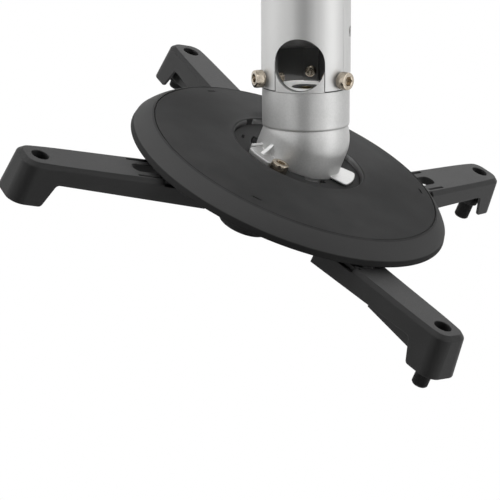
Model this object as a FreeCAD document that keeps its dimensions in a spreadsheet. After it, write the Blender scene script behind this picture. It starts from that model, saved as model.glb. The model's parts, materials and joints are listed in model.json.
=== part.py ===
"""Projector ceiling mount: tube, clamped ball joint, cover disc and four slotted arms.

Millimetres and degrees. The origin is the centre of the ceiling plate's top face and Z
points up, along the tube. Pieces below the ball joint are drawn in the head frame: its
origin is the ball centre and its Z axis is the axis of the cover disc, which leans from
the tube by tilt_angle towards lean_azimuth.
"""
import FreeCAD, Part
import math
import os

import Sketcher

Vector = FreeCAD.Vector
Rotation = FreeCAD.Rotation
Placement = FreeCAD.Placement

SIZES = {
    # ceiling plate and tube
    "ball_drop": 150.0,             # ceiling to ball centre
    "plate_radius": 60.0,
    "plate_thick": 5.0,
    "plate_spigot": 20.0,           # length of the spigot inside the tube
    "plate_bore": 18.0,
    "plate_bolt_circle": 48.0,      # radius of the circle of ceiling bolt holes
    "plate_bolt_hole": 3.25,
    "tube_radius": 25.0,
    "tube_wall": 2.0,
    "tube_end": 29.0,               # lower end of the tube above the ball centre
    "spigot_fit": 0.05,
    "window_width": 28.0,
    "window_height": 30.0,
    "cross_hole_radius": 3.2,
    "cross_hole_height": 31.5,      # above the tube's lower end
    "tube_screw_drop": 15.0,        # below the ceiling
    # screws of thread radius 3 with socket heads
    "screw_radius": 3.0,
    "screw_head_radius": 5.0,
    "screw_head_height": 6.0,
    "screw_socket": 2.5,            # half the key size
    "screw_socket_depth": 3.2,
    "screw_chamfer": 0.5,
    "thread_fit": 0.05,
    "screw_hole_fit": 0.3,
    "clamp_height": 6.0,            # clamp screws above the tube's lower end
    "clamp_length": 12.4,
    "clamp_head_height": 5.2,
    "clamp_stand_off": 0.9,         # thread that shows between the head and the tube
    "lock_length": 10.0,
    # joint collar
    "collar_radius": 24.6,
    "collar_foot": 7.5,             # lower edge above the ball centre
    "collar_edge_inset": 0.5,       # the foot's rounded edge starts this far in
    "collar_edge_radius": 2.4,
    "spigot_height": 19.0,
    "spigot_bore": 19.4,
    "spigot_cut_lip": 0.6,
    "tongue_play": 0.3,             # beside the tongue that closes the window's foot
    "tongue_inset": 0.15,
    "pad_width": 8.4,
    "pad_face": 17.6,               # distance of the screw pads' faces from the axis
    "socket_radius": 25.15,
    "head_pocket": 7.9,
    "bolt_seat": 23.0,              # under face of the washer above the ball centre
    "collar_boss": 8.9,
    "collar_boss_tip": 6.5,
    "collar_boss_foot": 16.0,
    "boss_cone_foot": 20.4,
    "boss_cone_top": 22.6,
    # ball bolt, washer, cup and nut
    "bolt_radius": 3.0,
    "bolt_fit": 0.08,
    "bolt_head_radius": 4.6,
    "bolt_head_height": 4.6,
    "bolt_socket": 2.5,
    "bolt_socket_depth": 2.6,
    "bolt_length": 24.0,
    "washer_radius": 7.5,
    "washer_thick": 1.0,
    "cup_radius": 16.9,
    "cup_wall": 3.5,
    "cup_top": 12.0,
    "cup_rim": 3.5,
    "nut_flats": 5.0,
    "nut_height": 5.0,
    "nut_chamfer": 0.8,
    # seat ring and ball shell
    "joint_fit": 0.2,
    "ring_start": 56.0,             # angle from the head axis to the ring's upper edge
    "shell_radius": 24.7,
    "shell_wall": 4.0,
    "shell_opening": 47.5,          # angle from the head axis to the dome's opening
    "shell_base": 13.4,             # base of the shell below the ball centre
    "spigot_radius": 23.2,
    "tab_reach": 27.5,
    "tab_thick": 2.8,
    "tab_half_angle": 12.0,
    "lug_reach": 34.3,
    "lug_thick": 3.0,
    "lug_azimuth": -107.0,
    "lug_root_angle": 26.0,
    "lug_tip_angle": 14.5,
    "lug_corner": 2.0,
    "thin_lug_gap": 0.8,            # above the hub's floor
    "thin_lug_thick": 1.3,
    "thin_lug_tip_angle": 19.0,
    "high_fin_azimuth": -109.5,
    "high_fin_height": 8.7,         # above the shell's base
    "low_fin_azimuth": -129.5,
    "low_fin_height": 4.6,
    "fin_reach": 30.5,
    "fin_thick": 2.4,
    "lock_radius": 33.2,
    "lock_azimuth": -83.1,
    "lock_clearance": 0.3,
    # hub plate
    "floor_radius": 38.2,
    "floor_thick": 4.0,
    "step_drop": 3.0,
    "step_radius": 44.0,
    "hub_wall_bore": 29.0,
    "flange_root": 50.0,
    "flange_radius": 70.0,
    "flange_top": 22.8,
    "flange_foot": 27.8,
    "entry_azimuth": -157.5,
    "entry_half_angle": 14.0,
    "entry_clearance": 0.5,
    "floor_slot_length": 5.0,
    "floor_slot_width": 1.6,
    "floor_slot_radius": 33.0,
    "grip_azimuth": -82.0,
    "grip_distance": 66.0,
    "grip_radius": 14.5,
    "grip_foot": 36.5,
    "grip_edge": 1.2,
    "clip_azimuth": -79.0,
    "clip_distance": 78.7,
    "clip_width": 5.6,
    "clip_thick": 1.4,
    "clip_slot_play": 0.3,
    "clip_drop": 0.7,               # top of a clip below the disc's surface
    "clip_ear_width": 11.0,
    "clip_ear_margin": 2.2,
    # cover disc
    "lip_radius": 38.5,
    "lip_wall": 2.5,
    "crest_radius": 40.2,
    "crest_drop": 10.6,
    "groove_radius": 85.1,
    "groove_drop": 15.0,
    "groove_width": 0.9,
    "groove_depth": 0.6,
    "dome_bulge": 0.5,
    "bevel_bulge": 0.7,
    "rim_radius": 94.5,
    "rim_drop": 23.1,
    "skirt_radius": 95.4,
    "skirt_drop": 26.7,
    "cover_wall": 2.4,
    "lip_notch_width": 6.0,
    "lip_notch_azimuth": 168.0,
    # arms, drawn with the foot's hole at their origin and X running to the hub
    "arm_gap": 0.1,
    "arm_end": 11.3,
    "arm_end_width": 23.2,
    "arm_root_width": 28.0,
    "arm_corner": 8.5,
    "end_flare": 2.9,               # the end leans out by this at the foot
    "side_flare": 1.3,
    "arm_plate": 5.0,
    "arm_wall": 1.7,
    "arm_chamfer": 2.2,
    "beam_depth_out": 10.8,
    "beam_depth_in": 12.8,
    "foot_depth": 24.2,
    "foot_top_inner": 9.0,
    "foot_low_inner": 3.5,
    "foot_fillet": 2.5,
    "hole_radius": 4.8,
    "long_wall_end": 100.0,
    "long_shoulder": 71.0,
    "long_tip": 133.0,
    "short_wall_end": 85.0,
    "short_shoulder": 58.0,
    "short_tip": 118.0,
    "shoulder_width": 2.9,
    "shoulder_depth": 2.6,
    "tongue_width": 21.0,
    "slot_start": 56.0,
    "slot_margin": 6.0,
    "shoe_fit": 0.1,
    "rail_offset": 9.0,
    "rail_width": 1.5,
    "rail_depth": 1.1,
    "rib_offset": 6.0,
    "rib_thick": 2.0,
    "rib_start": 8.0,
    "rib_end": 44.0,
    "rib_depth_out": 19.5,
    "rib_depth_in": 15.8,
    "foot_boss_offset": 1.7,        # outwards from the hole above it
    "foot_boss_radius": 6.2,
    "foot_boss_foot": 22.0,
    # foot sleeves
    "sleeve_radius": 4.6,
    "sleeve_fit": 0.08,
    "sleeve_bore": 3.3,
    "sleeve_length": 19.4,
    "sleeve_chamfer": 0.7,
    "sleeve_gap": 0.3,
    # arm clamps
    "pivot_distance": 62.0,
    "pivot_length": 16.6,
    "shoe_width": 8.0,
    "shoe_length": 12.0,
    "shoe_flange": 16.0,
    "shoe_flange_thick": 2.0,
    "pivot_nut_flats": 5.0,
    "pivot_nut_height": 4.0,
    # how far each arm is pushed in from its longest reach, and each sleeve wound out
    "left_draw": 19.9,
    "front_draw": 15.7,
    "right_draw": 2.3,
    "back_draw": 1.9,
    "left_wound": 0.0,
    "front_wound": 11.0,
    "right_wound": 8.2,
    "back_wound": 1.8,
    "lean_azimuth": -16.3,
    "tilt_angle": 23.64,
}

# name: long or short, azimuth of the pivot, and swing from the radial line
ARMS = {
    "left": ("long", -115.3, -8.9),
    "front": ("short", -38.5, 20.1),
    "right": ("long", 57.9, 20.7),
    "back": ("short", 130.6, 17.5),
}

CLAMP_AZIMUTHS = (-30.0, 90.0, 210.0)
WINDOW_AZIMUTH = -90.0
TURN = 360.0
THIRDS = 3
PLATE_BOLTS = 4
CENTRE = (0, 0)


class Size:
    """A number together with the sheet formula that gives it."""

    def __init__(self, value, text):
        self.value = float(value)
        self.text = text

    def __add__(self, other):
        other = as_size(other)
        return Size(self.value + other.value, f"({self.text} + {other.text})")

    def __radd__(self, other):
        return as_size(other) + self

    def __sub__(self, other):
        other = as_size(other)
        return Size(self.value - other.value, f"({self.text} - {other.text})")

    def __rsub__(self, other):
        return as_size(other) - self

    def __mul__(self, other):
        other = as_size(other)
        return Size(self.value * other.value, f"({self.text} * {other.text})")

    def __rmul__(self, other):
        return as_size(other) * self

    def __truediv__(self, other):
        other = as_size(other)
        return Size(self.value / other.value, f"({self.text} / {other.text})")

    def __neg__(self):
        return Size(-self.value, f"(0 - {self.text})")


def as_size(value):
    return value if isinstance(value, Size) else Size(value, f"({value:.9f})")


def root(size):
    return Size(math.sqrt(size.value), f"sqrt({size.text})")


def sine(size):
    size = as_size(size)
    return Size(math.sin(math.radians(size.value)), f"sin({size.text})")


def cosine(size):
    size = as_size(size)
    return Size(math.cos(math.radians(size.value)), f"cos({size.text})")


def polar(radius, azimuth):
    return (radius * cosine(azimuth), radius * sine(azimuth))


def half_chord(radius, distance):
    """Half of the chord that a circle has at a distance from its centre."""
    return root(radius * radius - distance * distance)


doc = FreeCAD.newDocument("projector_ceiling_mount")
sheet = doc.addObject("Spreadsheet::Sheet", "Sizes")
for row, (alias, number) in enumerate(SIZES.items(), start=1):
    sheet.set(f"A{row}", alias)
    sheet.set(f"B{row}", str(number))
    sheet.setAlias(f"B{row}", alias)
doc.recompute()


class Sizes:
    """Each driving dimension as a Size, by its name."""

    def __getattr__(self, alias):
        return Size(SIZES[alias], f"Sizes.{alias}")


d = Sizes()
NODES = []


def bind(thing, path, size):
    """Tie a property, or a named constraint, to the sheet."""
    size = as_size(size)
    thing.setExpression(path, size.text)


def new_body(label):
    body = doc.addObject("PartDesign::Body", label)
    body.Label = label
    NODES.append(body)
    return body


def new_sketch(body, role, offset=0.0, azimuth=0.0):
    """Sketch on one of the body's origin planes, moved along its normal. An upright
    plane may be turned about Z."""
    sketch = body.newObject("Sketcher::SketchObject", f"{body.Name}_sketch")
    planes = {feature.Role: feature for feature in body.Origin.OriginFeatures}
    sketch.AttachmentSupport = [(planes[role], "")]
    sketch.MapMode = "FlatFace"
    # the Y axis of an upright sketch is the body's Z axis
    bind(sketch, "AttachmentOffset.Base.z", offset)
    sketch.AttachmentOffset.Rotation.Axis = Vector(0, 1, 0)
    bind(sketch, "AttachmentOffset.Rotation.Angle", azimuth)
    return sketch


def constrain(sketch, kind, *arguments):
    size = arguments[-1]
    index = sketch.addConstraint(Sketcher.Constraint(kind, *arguments[:-1], size.value))
    bind(sketch, f"Constraints[{index}]", size)


def fix_point(sketch, geometry, point, corner):
    constrain(sketch, "DistanceX", -1, 1, geometry, point, as_size(corner[0]))
    constrain(sketch, "DistanceY", -1, 1, geometry, point, as_size(corner[1]))


def arc_between(start, end, radius, left):
    """Arc from start to end whose centre lies on the left or right of that way."""
    chord = end - start
    side = Vector(-chord.y, chord.x, 0).normalize() * (1 if left else -1)
    rise = math.sqrt(max(radius ** 2 - (chord.Length / 2) ** 2, 0))
    centre = (start + end) * 0.5 + side * rise
    return Part.Arc(start, centre - side * radius, end)


def outline(sketch, corners, arcs=None):
    """Closed outline through the corners. For each edge that is an arc, arcs gives its
    centre point or its radius, and whether the centre is on the left, by the number of
    the corner that the edge starts from."""
    arcs = arcs or {}
    first = sketch.GeometryCount
    count = len(corners)
    points = [Vector(as_size(x).value, as_size(y).value, 0) for x, y in corners]
    ends = []
    for i, start in enumerate(points):
        end = points[(i + 1) % count]
        if i not in arcs:
            sketch.addGeometry(Part.LineSegment(start, end))
            ends.append((1, 2))
            continue
        given, left = arcs[i]
        if isinstance(given, Size):
            radius = given.value
        else:
            centre = Vector(as_size(given[0]).value, as_size(given[1]).value, 0)
            radius = (start - centre).Length
        sketch.addGeometry(arc_between(start, end, radius, left))
        # a sketch arc always runs anticlockwise, so it may start at the next corner
        ends.append((1, 2) if left else (2, 1))
    for i in range(count):
        following = (i + 1) % count
        joint = (first + i, ends[i][1], first + following, ends[following][0])
        sketch.addConstraint(Sketcher.Constraint("Coincident", *joint))
    for i, corner in enumerate(corners):
        fix_point(sketch, first + i, ends[i][0], corner)
    for i, (given, left) in arcs.items():
        if isinstance(given, Size):
            constrain(sketch, "Radius", first + i, given)
            continue
        # the ends leave the centre free along one line only
        chord = points[(i + 1) % count] - points[i]
        if abs(chord.y) > abs(chord.x):
            constrain(sketch, "DistanceX", -1, 1, first + i, 3, as_size(given[0]))
        else:
            constrain(sketch, "DistanceY", -1, 1, first + i, 3, as_size(given[1]))


def circle(sketch, centre, radius):
    x, y = (as_size(value) for value in centre)
    shape = Part.Circle(Vector(x.value, y.value, 0), Vector(0, 0, 1), radius.value)
    index = sketch.addGeometry(shape)
    constrain(sketch, "Radius", index, radius)
    fix_point(sketch, index, 3, (x, y))


def obround(sketch, start, end, radius):
    """Slot along X with round ends, centred on the X axis."""
    corners = [(start, -radius), (end, -radius), (end, radius), (start, radius)]
    outline(sketch, corners, {1: ((end, 0), True), 3: ((start, 0), True)})


def revolve(body, corners, arcs=None):
    """Ring whose section has (radius, height) corners."""
    sketch = new_sketch(body, "XZ_Plane")
    outline(sketch, corners, arcs)
    feature = body.newObject("PartDesign::Revolution", f"{body.Name}_turned")
    feature.Profile = sketch
    feature.ReferenceAxis = (sketch, ["V_Axis"])
    feature.Angle = TURN
    return feature


def pad(body, sketch, length, down=False):
    feature = body.newObject("PartDesign::Pad", f"{body.Name}_pad")
    feature.Profile = sketch
    feature.Reversed = down
    bind(feature, "Length", length)
    return feature


def pocket(body, sketch, depth, forward=False):
    """Cut against the sketch's normal, or along it."""
    feature = body.newObject("PartDesign::Pocket", f"{body.Name}_pocket")
    feature.Profile = sketch
    feature.Reversed = forward
    bind(feature, "Length", depth)
    return feature


def blend(body, kind, first, second):
    """Straight-sided solid or cut between two sketches of the same number of edges."""
    feature = body.newObject(f"PartDesign::{kind}", f"{body.Name}_blend")
    feature.Profile = first
    feature.Sections = [second]
    feature.Ruled = True
    return feature


def edges_where(feature, chosen):
    """Names of the edges whose middle point and tangent meet a test."""
    doc.recompute()
    names = []
    for number, edge in enumerate(feature.Shape.Edges, start=1):
        middle = (edge.FirstParameter + edge.LastParameter) / 2
        if chosen(edge.valueAt(middle), edge.tangentAt(middle)):
            names.append(f"Edge{number}")
    return names


def dress(body, kind, base, names, size):
    """Fillet or chamfer on named edges of a feature."""
    feature = body.newObject(f"PartDesign::{kind}", f"{body.Name}_edge")
    feature.Base = (base, names)
    bind(feature, "Radius" if kind == "Fillet" else "Size", size)
    return feature


def near(value, target, within=0.02):
    return abs(value - target) < within


def turned(azimuth):
    return Placement(Vector(), Rotation(Vector(0, 0, 1), azimuth))


def hexagon(sketch, half_flats):
    across = half_flats / cosine(30)
    outline(sketch, [polar(across, 60 * i) for i in range(6)])


def radial_cuts(body, azimuths, radius, height, far):
    """Round holes from the axis outwards, one at each azimuth."""
    for azimuth in azimuths:
        sketch = new_sketch(body, "YZ_Plane", azimuth=azimuth)
        circle(sketch, (0, height), radius)
        pocket(body, sketch, far, forward=True)


def socket_screw(label, length, height):
    """Screw with its head on the origin plane and its thread running down."""
    body = new_body(label)
    edge = d.screw_chamfer
    head, thread = d.screw_head_radius, d.screw_radius
    revolve(body, [
        (0, height), (head - edge, height), (head, height - edge), (head, 0),
        (thread, 0), (thread, edge - length), (thread - edge, -length), (0, -length)])
    sketch = new_sketch(body, "XY_Plane", height)
    hexagon(sketch, d.screw_socket)
    pocket(body, sketch, d.screw_socket_depth)
    return body


def nut(label, half_flats, height, bore):
    """Six-sided nut standing on the origin plane."""
    body = new_body(label)
    sketch = new_sketch(body, "XY_Plane")
    hexagon(sketch, half_flats)
    circle(sketch, (0, 0), bore)
    pad(body, sketch, height)
    return body


# frames that pieces are drawn in
ball_centre = Vector(0, 0, -d.ball_drop.value)
tube_frame = Placement(ball_centre, Rotation())
lean = Rotation(Vector(0, 0, 1), d.lean_azimuth.value)
tilt = Rotation(Vector(0, 1, 0), d.tilt_angle.value)
head_frame = Placement(ball_centre, lean.multiply(tilt))


def strip(inner, outer, half, azimuth):
    """Rectangle between two distances from the axis, turned to an azimuth."""
    c, s = cosine(azimuth), sine(azimuth)
    corners = [(inner, -half), (outer, -half), (outer, half), (inner, half)]
    return [(x * c - y * s, x * s + y * c) for x, y in corners]


def radial(azimuth, distance, height):
    """Placement of a screw that points at the Z axis from outside."""
    lying = Placement(Vector(distance, 0, height), Rotation(Vector(0, 1, 0), 90))
    return turned(azimuth).multiply(lying)


def make_ceiling_plate():
    body = new_body("ceiling_plate")
    spigot = d.tube_radius - d.tube_wall - d.spigot_fit
    foot = -(d.plate_thick + d.plate_spigot)
    revolve(body, [
        (d.plate_bore, 0), (d.plate_radius, 0), (d.plate_radius, -d.plate_thick),
        (spigot, -d.plate_thick), (spigot, foot), (d.plate_bore, foot)])
    holes = new_sketch(body, "XY_Plane")
    for i in range(PLATE_BOLTS):
        azimuth = TURN / PLATE_BOLTS * (i + 0.5)
        circle(holes, polar(d.plate_bolt_circle, azimuth), d.plate_bolt_hole)
    pocket(body, holes, d.plate_thick)
    threads = d.screw_radius + d.thread_fit
    radial_cuts(body, CLAMP_AZIMUTHS, threads, -d.tube_screw_drop, d.tube_radius)


def make_ceiling_tube():
    body = new_body("ceiling_tube")
    top, foot = -d.plate_thick, d.tube_end - d.ball_drop
    bore = d.tube_radius - d.tube_wall
    revolve(body, [(bore, foot), (d.tube_radius, foot), (d.tube_radius, top), (bore, top)])
    half = d.window_width / 2
    spring = foot + d.window_height - half
    window = new_sketch(body, "XZ_Plane")
    outline(window, [(-half, foot - 1), (half, foot - 1), (half, spring), (-half, spring)],
            {2: ((0, spring), True)})
    pocket(body, window, d.tube_radius + 1, forward=True)
    passing = d.screw_radius + d.screw_hole_fit
    far = d.tube_radius + 1
    radial_cuts(body, CLAMP_AZIMUTHS, passing, foot + d.clamp_height, far)
    radial_cuts(body, CLAMP_AZIMUTHS, passing, -d.tube_screw_drop, far)
    radial_cuts(body, (0, 180), d.cross_hole_radius, foot + d.cross_hole_height, far)


def make_tube_screws():
    levels = {"tube_screw": -d.tube_screw_drop.value,
              "clamp_screw": (d.tube_end + d.clamp_height - d.ball_drop).value}
    for name, height in levels.items():
        for number, azimuth in enumerate(CLAMP_AZIMUTHS, start=1):
            screw = socket_screw(f"{name}_{number}", d.clamp_length, d.clamp_head_height)
            seat = d.tube_radius + d.clamp_stand_off
            screw.Placement = radial(azimuth, seat.value, height)


def make_joint_collar():
    body = new_body("joint_collar")
    spigot = d.tube_radius - d.tube_wall - d.spigot_fit
    top = d.tube_end + d.spigot_height
    hole = d.bolt_radius + d.bolt_fit
    rim = half_chord(d.socket_radius, d.collar_foot)
    boss_top = half_chord(d.socket_radius, d.collar_boss)
    round_edge, inset = d.collar_edge_radius, d.collar_edge_inset
    rise = half_chord(round_edge, round_edge - inset)
    revolve(body, [
        (hole, d.collar_boss_foot), (d.collar_boss_tip, d.collar_boss_foot),
        (d.collar_boss_tip, d.boss_cone_foot), (d.collar_boss, d.boss_cone_top),
        (d.collar_boss, boss_top), (rim, d.collar_foot),
        (d.collar_radius - inset, d.collar_foot), (d.collar_radius, d.collar_foot + rise),
        (d.collar_radius, d.tube_end), (spigot, d.tube_end), (spigot, top),
        (d.spigot_bore, top), (d.spigot_bore, d.tube_end), (d.head_pocket, d.tube_end),
        (d.head_pocket, d.bolt_seat), (hole, d.bolt_seat)],
        {4: (CENTRE, False), 6: (round_edge, True)})
    for azimuth in CLAMP_AZIMUTHS:
        pads = new_sketch(body, "XY_Plane", d.tube_end)
        inner, outer = d.pad_face, (d.spigot_bore + spigot) / 2
        outline(pads, strip(inner, outer, d.pad_width / 2, azimuth))
        pad(body, pads, d.spigot_height)
    half = d.window_width / 2
    spring = d.tube_end + d.spigot_cut_lip + half
    side, reach = half - d.tongue_play, d.tube_radius - d.tongue_inset
    middle = (d.spigot_bore + spigot) / 2
    near_edge, far_edge = half_chord(reach, side), half_chord(middle, side)
    tongue = new_sketch(body, "XY_Plane", d.tube_end)
    outline(tongue, [(-side, -near_edge), (side, -near_edge), (side, -far_edge),
                     (-side, -far_edge)], {0: (CENTRE, True), 2: (CENTRE, False)})
    pad(body, tongue, spring - d.tube_end)
    cut = new_sketch(body, "XZ_Plane")
    outline(cut, [(-half, spring), (half, spring), (half, top + 1), (-half, top + 1)],
            {0: ((0, spring), True)})
    pocket(body, cut, d.tube_radius, forward=True)
    threads = d.screw_radius + d.thread_fit
    radial_cuts(body, CLAMP_AZIMUTHS, threads, d.tube_end + d.clamp_height, d.tube_radius)
    body.Placement = tube_frame


def make_ball_bolt():
    body = new_body("ball_bolt")
    seat = d.bolt_seat + d.washer_thick
    head, radius, edge = d.bolt_head_radius, d.bolt_radius, d.screw_chamfer
    top, foot = seat + d.bolt_head_height, seat - d.bolt_length
    revolve(body, [
        (0, top), (head - edge, top), (head, top - edge), (head, seat), (radius, seat),
        (radius, foot + edge), (radius - edge, foot), (0, foot)])
    sketch = new_sketch(body, "XY_Plane", top)
    hexagon(sketch, d.bolt_socket)
    pocket(body, sketch, d.bolt_socket_depth)
    body.Placement = tube_frame


def make_bolt_washer():
    body = new_body("bolt_washer")
    hole = d.bolt_radius + d.bolt_fit
    top = d.bolt_seat + d.washer_thick
    revolve(body, [(hole, d.bolt_seat), (d.washer_radius, d.bolt_seat),
                   (d.washer_radius, top), (hole, top)])
    body.Placement = tube_frame


def make_pressure_cup():
    body = new_body("pressure_cup")
    hole = d.bolt_radius + d.bolt_fit
    inside = d.cup_radius - d.cup_wall
    web = d.cup_top - d.cup_wall
    revolve(body, [
        (hole, d.cup_top), (hole, web), (half_chord(inside, web), web),
        (half_chord(inside, d.cup_rim), d.cup_rim),
        (half_chord(d.cup_radius, d.cup_rim), d.cup_rim),
        (half_chord(d.cup_radius, d.cup_top), d.cup_top)],
        {2: (CENTRE, False), 4: (CENTRE, True)})
    body.Placement = tube_frame


def make_cup_nut():
    body = nut("cup_nut", d.nut_flats, d.nut_height, d.bolt_radius + d.thread_fit)
    seat = (d.cup_top - d.cup_wall - d.nut_height).value
    body.Placement = tube_frame.multiply(Placement(Vector(0, 0, seat), Rotation()))


def make_seat_ring():
    body = new_body("seat_ring")
    inner = d.cup_radius + d.joint_fit
    outer = d.shell_radius - d.shell_wall - d.joint_fit
    start = d.ring_start
    revolve(body, [
        (inner, 0), (outer, 0), (outer * sine(start), outer * cosine(start)),
        (inner * sine(start), inner * cosine(start))],
        {1: (CENTRE, True), 3: (CENTRE, False)})
    body.Placement = head_frame


def lug_outline(azimuth, tip_angle):
    """Flap on the shell, with half the angle that its tip takes up."""
    inner = d.shell_radius - d.shell_wall / 2
    return [polar(inner, azimuth - d.lug_root_angle),
            polar(d.lug_reach, azimuth - tip_angle),
            polar(d.lug_reach, azimuth + tip_angle),
            polar(inner, azimuth + d.lug_root_angle)]


def sector(inner, outer, azimuth, half_angle):
    return [polar(inner, azimuth - half_angle), polar(outer, azimuth - half_angle),
            polar(outer, azimuth + half_angle), polar(inner, azimuth + half_angle)]


def make_ball_shell():
    body = new_body("ball_shell")
    outside, inside = d.shell_radius, d.shell_radius - d.shell_wall
    opening, base = d.shell_opening, -d.shell_base
    tab_top = base - d.floor_thick
    foot = tab_top - d.tab_thick
    revolve(body, [
        (inside, 0), (inside, foot), (d.spigot_radius, foot), (d.spigot_radius, base),
        (outside, base), (outside, 0), (outside * sine(opening), outside * cosine(opening)),
        (inside * sine(opening), inside * cosine(opening))],
        {5: (CENTRE, True), 7: (CENTRE, False)})
    for i in range(THIRDS):
        azimuth = d.lug_azimuth + TURN / THIRDS * i
        foot_height, thick, tip_angle = base, d.lug_thick, d.lug_tip_angle
        if i > 0:
            foot_height, thick = base + d.thin_lug_gap, d.thin_lug_thick
            tip_angle = d.thin_lug_tip_angle
        lugs = new_sketch(body, "XY_Plane", foot_height)
        outline(lugs, lug_outline(azimuth, tip_angle), {1: (CENTRE, True)})
        pad(body, lugs, thick)
        tabs = new_sketch(body, "XY_Plane", foot)
        between = (inside + d.spigot_radius) / 2
        outline(tabs, sector(between, d.tab_reach, azimuth, d.tab_half_angle),
                {1: (CENTRE, True)})
        last = pad(body, tabs, d.tab_thick)
    corners = edges_where(last, lambda p, t: (
        near(abs(t.z), 1) and near(math.hypot(p.x, p.y), d.lug_reach.value)
        and base.value < p.z < (base + d.lug_thick).value))
    dress(body, "Fillet", last, corners, d.lug_corner)
    top = base + d.lug_thick
    middle = outside - d.shell_wall / 2
    for azimuth, height in ((d.high_fin_azimuth, d.high_fin_height),
                            (d.low_fin_azimuth, d.low_fin_height)):
        fin = new_sketch(body, "XZ_Plane", azimuth=azimuth)
        outline(fin, [(middle, base), (d.fin_reach, base), (d.fin_reach, top),
                      (outside, base + height), (middle, base + height)])
        ridge = pad(body, fin, d.fin_thick)
        ridge.Midplane = True
    head_room = new_sketch(body, "XY_Plane", base)
    circle(head_room, polar(d.lock_radius, d.lock_azimuth),
           d.screw_head_radius + d.lock_clearance)
    pocket(body, head_room, d.high_fin_height + 1, forward=True)
    body.Placement = head_frame


def make_lock_screw():
    screw = socket_screw("lock_screw", d.lock_length, d.screw_head_height)
    x, y = polar(d.lock_radius, d.lock_azimuth)
    seat = Placement(Vector(x.value, y.value, -d.shell_base.value), Rotation())
    screw.Placement = head_frame.multiply(seat)


def dome_drop(radius):
    """Depth of the disc's upper surface between its crest and its groove."""
    share = (radius - d.crest_radius) / (d.groove_radius - d.crest_radius)
    return d.crest_drop + (d.groove_drop - d.crest_drop) * share


def bulge_radius(start, end, bulge):
    """Radius of the arc that rises by bulge over the chord from start to end."""
    dx, dy = end[0] - start[0], end[1] - start[1]
    return (dx * dx + dy * dy) / (bulge * 8) + bulge / 2


def make_hub_plate():
    body = new_body("hub_plate")
    floor = -d.shell_base
    hole = d.spigot_radius + d.joint_fit
    step = floor - d.step_drop
    revolve(body, [
        (hole, floor), (hole, floor - d.floor_thick),
        (d.hub_wall_bore, floor - d.floor_thick), (d.hub_wall_bore, -d.flange_foot),
        (d.flange_radius, -d.flange_foot), (d.flange_radius, -d.flange_top),
        (d.flange_root, -d.flange_top), (d.step_radius, step), (d.floor_radius, step),
        (d.floor_radius, floor)])
    for i in range(THIRDS):
        azimuth = d.clip_azimuth + TURN / THIRDS * i
        ear = new_sketch(body, "XY_Plane", -d.flange_foot)
        inner, outer = d.flange_root, d.clip_distance + d.clip_ear_margin
        outline(ear, strip(inner, outer, d.clip_ear_width / 2, azimuth))
        pad(body, ear, d.flange_foot - d.flange_top)
        clip = new_sketch(body, "XY_Plane", -d.flange_foot)
        inner, outer = d.clip_distance - d.clip_thick / 2, d.clip_distance + d.clip_thick / 2
        outline(clip, strip(inner, outer, d.clip_width / 2, azimuth))
        surface = dome_drop(d.clip_distance + d.clip_thick / 2)
        pad(body, clip, d.flange_foot - surface - d.clip_drop)
    grip = new_sketch(body, "XY_Plane", -d.flange_top)
    circle(grip, polar(d.grip_distance, d.grip_azimuth), d.grip_radius)
    lobe = pad(body, grip, d.grip_foot - d.flange_top, down=True)
    rim = edges_where(lobe, lambda p, t: near(p.z, -d.grip_foot.value))
    dress(body, "Fillet", lobe, rim, d.grip_edge)
    holes = new_sketch(body, "XY_Plane", -d.flange_top)
    for kind, azimuth, swing in ARMS.values():
        circle(holes, polar(d.pivot_distance, azimuth), d.screw_radius + d.joint_fit)
    pocket(body, holes, d.flange_foot - d.flange_top + 1)
    thread = new_sketch(body, "XY_Plane", floor)
    circle(thread, polar(d.lock_radius, d.lock_azimuth), d.screw_radius + d.thread_fit)
    pocket(body, thread, d.lock_length + 1)
    for i in range(THIRDS):
        azimuth = d.entry_azimuth + TURN / THIRDS * i
        entry = new_sketch(body, "XY_Plane", floor)
        outer = d.tab_reach + d.entry_clearance
        inner = d.spigot_radius - 1
        outline(entry, sector(inner, outer, azimuth, d.entry_half_angle),
                {1: (CENTRE, True)})
        pocket(body, entry, d.floor_thick)
    slot = new_sketch(body, "XY_Plane", floor)
    inner, outer = (d.floor_slot_radius - d.floor_slot_width / 2,
                    d.floor_slot_radius + d.floor_slot_width / 2)
    outline(slot, strip(inner, outer, d.floor_slot_length / 2, d.entry_azimuth))
    pocket(body, slot, d.floor_thick / 2)
    body.Placement = head_frame


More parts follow.
